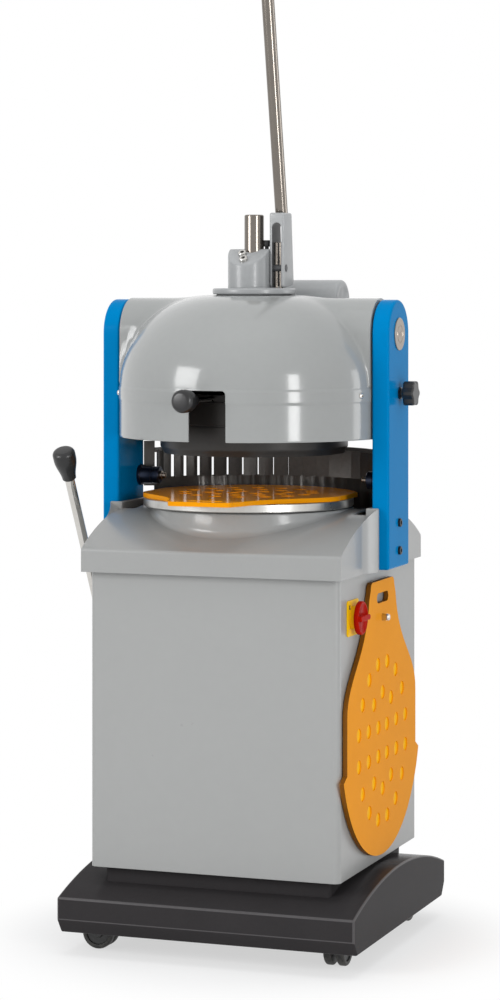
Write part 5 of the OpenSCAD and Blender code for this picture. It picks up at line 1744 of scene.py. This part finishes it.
@dataclass
class PressLever:
    """The lever's socket, steel tube and hand grip."""

    lean: float = math.radians(11)
    length: float = 0.600
    tube: float = 0.013
    tube_wall: float = 0.0025
    seat: float = 0.016
    slot: float = 0.020
    axis_off: float = 0.030
    drop: float = 0.038
    nose: float = 0.040
    heel: float = 0.012
    pin: float = 0.0081
    grip: float = 0.110
    ribs: int = 9
    rib_pitch: float = 0.0105

    def socket(self, mouth: Vector, way: Vector) -> None:
        """Models the slotted socket.

        Args:
            mouth: Where the tube leaves it.
            way: The tube's direction.
        """
        lo, hi = span("lever_socket")
        at = Vector(pivot("lever_swing"))
        x, front, top, low, heel = at.x, lo.y, hi.z, at.z - self.drop, self.heel
        outline = [
            (front, top), (front, low + 0.004), *arc((at.y, at.z), self.nose, -108, -80, 5),
            (hi.y - 0.016, low + 0.002), *arc((hi.y - heel, low + 0.014), heel, -75, 0, 5),
            (front + self.axis_off + self.tube + 0.006, top),
        ]
        socket = Bench.prism("lever_socket_casting", outline, Axis.X, lo.x, hi.x)
        Bench.round(socket, 0.005, 5, 35)
        half = self.slot / 2
        arch = top - self.seat - half - 0.004
        slot = [(x + half, low - CLEAR), *arc((x, arch), half, 0, 180, 14), (x - half, low - CLEAR)]
        Bench.cut(
            socket,
            Bench.prism("slot", slot, Axis.Y, front - CLEAR, hi.y + CLEAR),
            Bench.rod("pin", (x - 0.05, at.y, at.z), (x + 0.05, at.y, at.z), self.pin, steps=40),
            Bench.rod("seat", mouth - way * self.seat, mouth + way * 0.03, self.tube, steps=48),
        )
        finishes = [Finishes.CAST_GREY, Finishes.BED_AND_PAINTED_SHADE]
        assemble("lever_socket_casting", [socket], "press_lever", "cast_grey", finishes, "lever_socket")

        def in_slot(face: bpy.types.MeshPolygon) -> bool:
            """Tells the slot's own faces."""
            inside = abs(face.center.x - x) < half + 0.0002 and face.center.z < arch + half
            return inside and abs(face.normal.y) < 0.5

        # The slot's own faces are painted dark, as painted shade inside it.
        pick_faces(socket, 1, in_slot)

    def build(self) -> None:
        """Builds the lever."""
        lo, hi = span("lever_socket")
        way = Vector((0, -math.sin(self.lean), math.cos(self.lean)))
        mouth = Vector((pivot("lever_swing")[0], lo.y + self.axis_off, hi.z))
        self.socket(mouth, way)
        total, bore, tube = self.length + self.seat, self.tube - self.tube_wall, self.tube
        section = [(bore, 0), (tube, 0), (tube, total), (bore, total)]
        parts = [Bench.lathe("tube", section, mouth - way * self.seat, way, 56)]
        assemble("lever_steel_tube", parts, "press_lever", "steel", [Finishes.STEEL], "lever_tube")
        r, long, ribs = tube + 0.004, self.grip, []
        for i in range(self.ribs):
            h = 0.012 + i * self.rib_pitch
            ribs += [(r, h), (r - 0.0012, h + 0.002), (r - 0.0012, h + 0.004), (r, h + 0.006)]
        section = [
            (tube, 0), (r - 0.002, 0), (r, 0.003), *ribs, (r, long), *arc((0, long), r, 8, 84, 8),
            (0, long + r), (0, long), (tube, long),
        ]
        parts = [Bench.lathe("grip", section, mouth + way * (self.length - long), way, 48)]
        assemble("lever_hand_grip", parts, "press_lever", "grip_black", [Finishes.GRIP_AND_PAINTED_SHADE], "lever_grip")


@dataclass
class Press:
    """The ram rod, the pressing ring and the front handle."""

    ring_wall: float = 0.008
    ring_edge: float = 0.012
    handle_turn: float = math.radians(-5.7)
    stem: float = 0.005
    seat: float = 0.172
    grip_from: float = 0.265

    def build(self) -> None:
        """Builds the visible parts of the press."""
        lo, hi = span("ram_rod")
        r, h = (hi.x - lo.x) / 2, hi.z - lo.z
        centre = [(0.0055, h), (0.0045, h - 0.008), (0, h - 0.009)]
        section = [(0, 0), (r, 0), (r, h - 0.002), (r - 0.002, h), *centre]
        rod = Bench.lathe("rod", section, (0, 0, lo.z), ALONG_Z, 64)
        assemble("ram_steel_rod", [rod], "ram", "steel", [Finishes.STEEL], "ram_rod")
        lo, hi = span("pressing_ring")
        r, low, high = (hi.x - lo.x) / 2, lo.z, hi.z
        inner, edge, groove = r - self.ring_wall, low + self.ring_edge, r - 0.0015
        section = [
            (inner, low), (inner + 0.001, low), (r - 0.003, edge - 0.003), (r - 0.0008, edge),
            (r, edge + 0.003), (r, high - 0.034), (groove, high - 0.033), (groove, high - 0.030),
            (r, high - 0.029), (r, high), (inner, high),
        ]
        ring = Bench.lathe("ring", section, ORIGIN, ALONG_Z, 128)
        assemble("pressing_ring_band", [ring], "ram", "black_alloy", [Finishes.BLACK_ALLOY], "pressing_ring")
        middle = Vector((0, 0, between(*span("selector_ring"))[2]))
        way = Vector((math.sin(self.handle_turn), -math.cos(self.handle_turn), 0))
        ends = middle + way * self.seat, middle + way * (self.grip_from + 0.02)
        parts = [Bench.rod("stem", *ends, self.stem)]
        assemble("front_handle_bar", parts, "front_handle", "steel", [Finishes.CHROME], "front_handle_stem")
        grip = pear_grip("front_handle_knob", middle + way * self.grip_from, way, 0.009)
        fit(grip, "front_handle", "grip_black", [Finishes.GRIP_AND_PAINTED_SHADE], "front_handle_grip")


class Inside:
    """The frame's nodes that keep their own shape, by finish."""

    NODES: dict[Finish, tuple[str, ...]] = {
        Finishes.BED_AND_PAINTED_SHADE: ("bed_plate", "driven_pulley", "motor_pulley", "head_beam"),
        Finishes.MOTOR: ("motor",),
        Finishes.STEEL: (
            "motor_bracket", "bearing_housing", "eccentric_shaft", "idler_crank_left", "idler_crank_right",
            "table_hub", "knife_grid",
        ),
        Finishes.RUBBER: ("drive_belt",),
        Finishes.BLACK_ALLOY: ("press_carrier", "selector_ring"),
        Finishes.STAMP: ("stamps",),
    }

    def build(self) -> None:
        """Dresses the nodes."""
        for finish, nodes in self.NODES.items():
            for node in nodes:
                dress(FRAME["nodes"][node], finish)


@dataclass(frozen=True)
class Lamp:
    """A soft box that faces a height on the machine's middle line.

    Glossy surfaces mirror it unless mirrored is off, and it lights matt ones unless lit is off.
    """

    name: str
    place: Triple
    aim: float
    size: Flat
    watts: float
    mirrored: bool = True
    lit: bool = True

    def build(self) -> None:
        """Adds the lamp."""
        data = bpy.data.lights.new(self.name, "AREA")
        data.shape = "RECTANGLE"
        data.size, data.size_y = self.size
        data.energy = self.watts
        lamp = bpy.data.objects.new(self.name, data)
        lamp.location = self.place
        lamp.visible_glossy, lamp.visible_diffuse = self.mirrored, self.lit
        way = Vector((0, 0, self.aim)) - Vector(self.place)
        lamp.rotation_euler = way.to_track_quat("-Z", "Y").to_euler()
        bpy.context.scene.collection.objects.link(lamp)


@dataclass
class Studio:
    """Camera, soft lights, pale floor and white surroundings."""

    eye: Triple = (2.0043, -5.5318, 1.3360)
    turn: float = math.radians(20)
    lens: float = 103.53
    sensor: float = 36.0
    frame_px: int = 1000
    horizon_px: float = 282.8
    lamps: tuple[Lamp, ...] = (
        Lamp("left_soft_box", (-2.5, -3.1, 1.95), 1.05, (1.5, 1.5), 63),
        Lamp("right_soft_box", (3.4, -2.6, 1.35), 1.0, (0.7, 2.1), 58),
        Lamp("top_soft_box", (0.2, -0.4, 4.2), 1.0, (2.6, 2.2), 48, mirrored=False),
        Lamp("edge_soft_box", (3.06, 1.7, 1.0), 1.0, (1.1, 2.0), 20, lit=False),
    )

    def camera(self) -> None:
        """Places the camera as the photograph was taken."""
        data = bpy.data.cameras.new("camera")
        data.lens, data.sensor_width, data.clip_end = self.lens, self.sensor, 60.0
        data.shift_y = -(self.frame_px / 2 - self.horizon_px) / self.frame_px
        camera = bpy.data.objects.new("camera", data)
        camera.location = self.eye
        camera.rotation_euler = (math.pi / 2, 0.0, self.turn)
        bpy.context.scene.collection.objects.link(camera)
        bpy.context.scene.camera = camera

    def surroundings(self) -> None:
        """Makes a white world that lights the object softly."""
        world = bpy.data.worlds.new("world")
        bpy.context.scene.world = world
        sheet = Sheet(world)
        soft = sheet.node("ShaderNodeBackground", Color=(0.97, 0.98, 1.0, 1.0), Strength=0.5)
        plain = sheet.node("ShaderNodeBackground", Color=(1.0, 1.0, 1.0, 1.0))
        sheet.show("ShaderNodeOutputWorld", sheet.seen(), soft, plain)

    def floor(self) -> None:
        """Lays a pale floor that keeps a faint shadow."""
        Bench.clear()
        bpy.ops.mesh.primitive_plane_add(size=24.0, location=(0, 0, -0.0005))
        floor = bpy.context.object
        floor.name = "studio_floor"
        material = bpy.data.materials.new("studio_floor")
        sheet = Sheet(material)
        paint = sheet.node("ShaderNodeBsdfDiffuse", Color=(0.9, 0.9, 0.9, 1.0))
        glow = sheet.node("ShaderNodeEmission")
        away = sheet.node("ShaderNodeVectorMath", {"operation": "LENGTH"}, Vector=sheet.place)
        far = sheet.node(
            "ShaderNodeMapRange", {"interpolation_type": "SMOOTHSTEP"}, Value=away.outputs["Value"],
            From_Min=0.36, From_Max=0.62, To_Min=0.6, To_Max=1.0,
        )
        share = sheet.seen() * Wire(sheet, far.outputs[0])
        sheet.show("ShaderNodeOutputMaterial", share, paint, glow)
        floor.data.materials.append(material)

    def build(self) -> None:
        """Builds the studio."""
        bpy.context.scene.view_settings.view_transform = "Standard"
        self.camera()
        self.surroundings()
        self.floor()
        for lamp in self.lamps:
            lamp.build()


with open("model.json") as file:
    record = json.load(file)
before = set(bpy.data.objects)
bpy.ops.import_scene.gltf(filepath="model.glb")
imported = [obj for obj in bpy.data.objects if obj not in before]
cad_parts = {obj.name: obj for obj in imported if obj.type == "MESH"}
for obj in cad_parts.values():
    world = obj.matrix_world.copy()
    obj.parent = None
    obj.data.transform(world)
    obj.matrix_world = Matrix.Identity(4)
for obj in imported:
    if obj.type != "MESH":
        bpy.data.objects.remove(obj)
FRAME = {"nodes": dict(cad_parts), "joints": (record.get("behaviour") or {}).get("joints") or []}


def main() -> None:
    """Builds the studio and the machine around the frame."""
    logging.basicConfig(level=logging.INFO, format="%(name)s %(message)s")
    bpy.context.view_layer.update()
    Studio().build()
    kinds = (
        Undercarriage, Cabinet, TopCover, Columns, MouldingPlates, PressHead, PressLever, Press, Inside,
    )
    for kind in kinds:
        kind().build()
        LOG.info("%s done", kind.__name__)


if __name__ == "__main__":
    main()
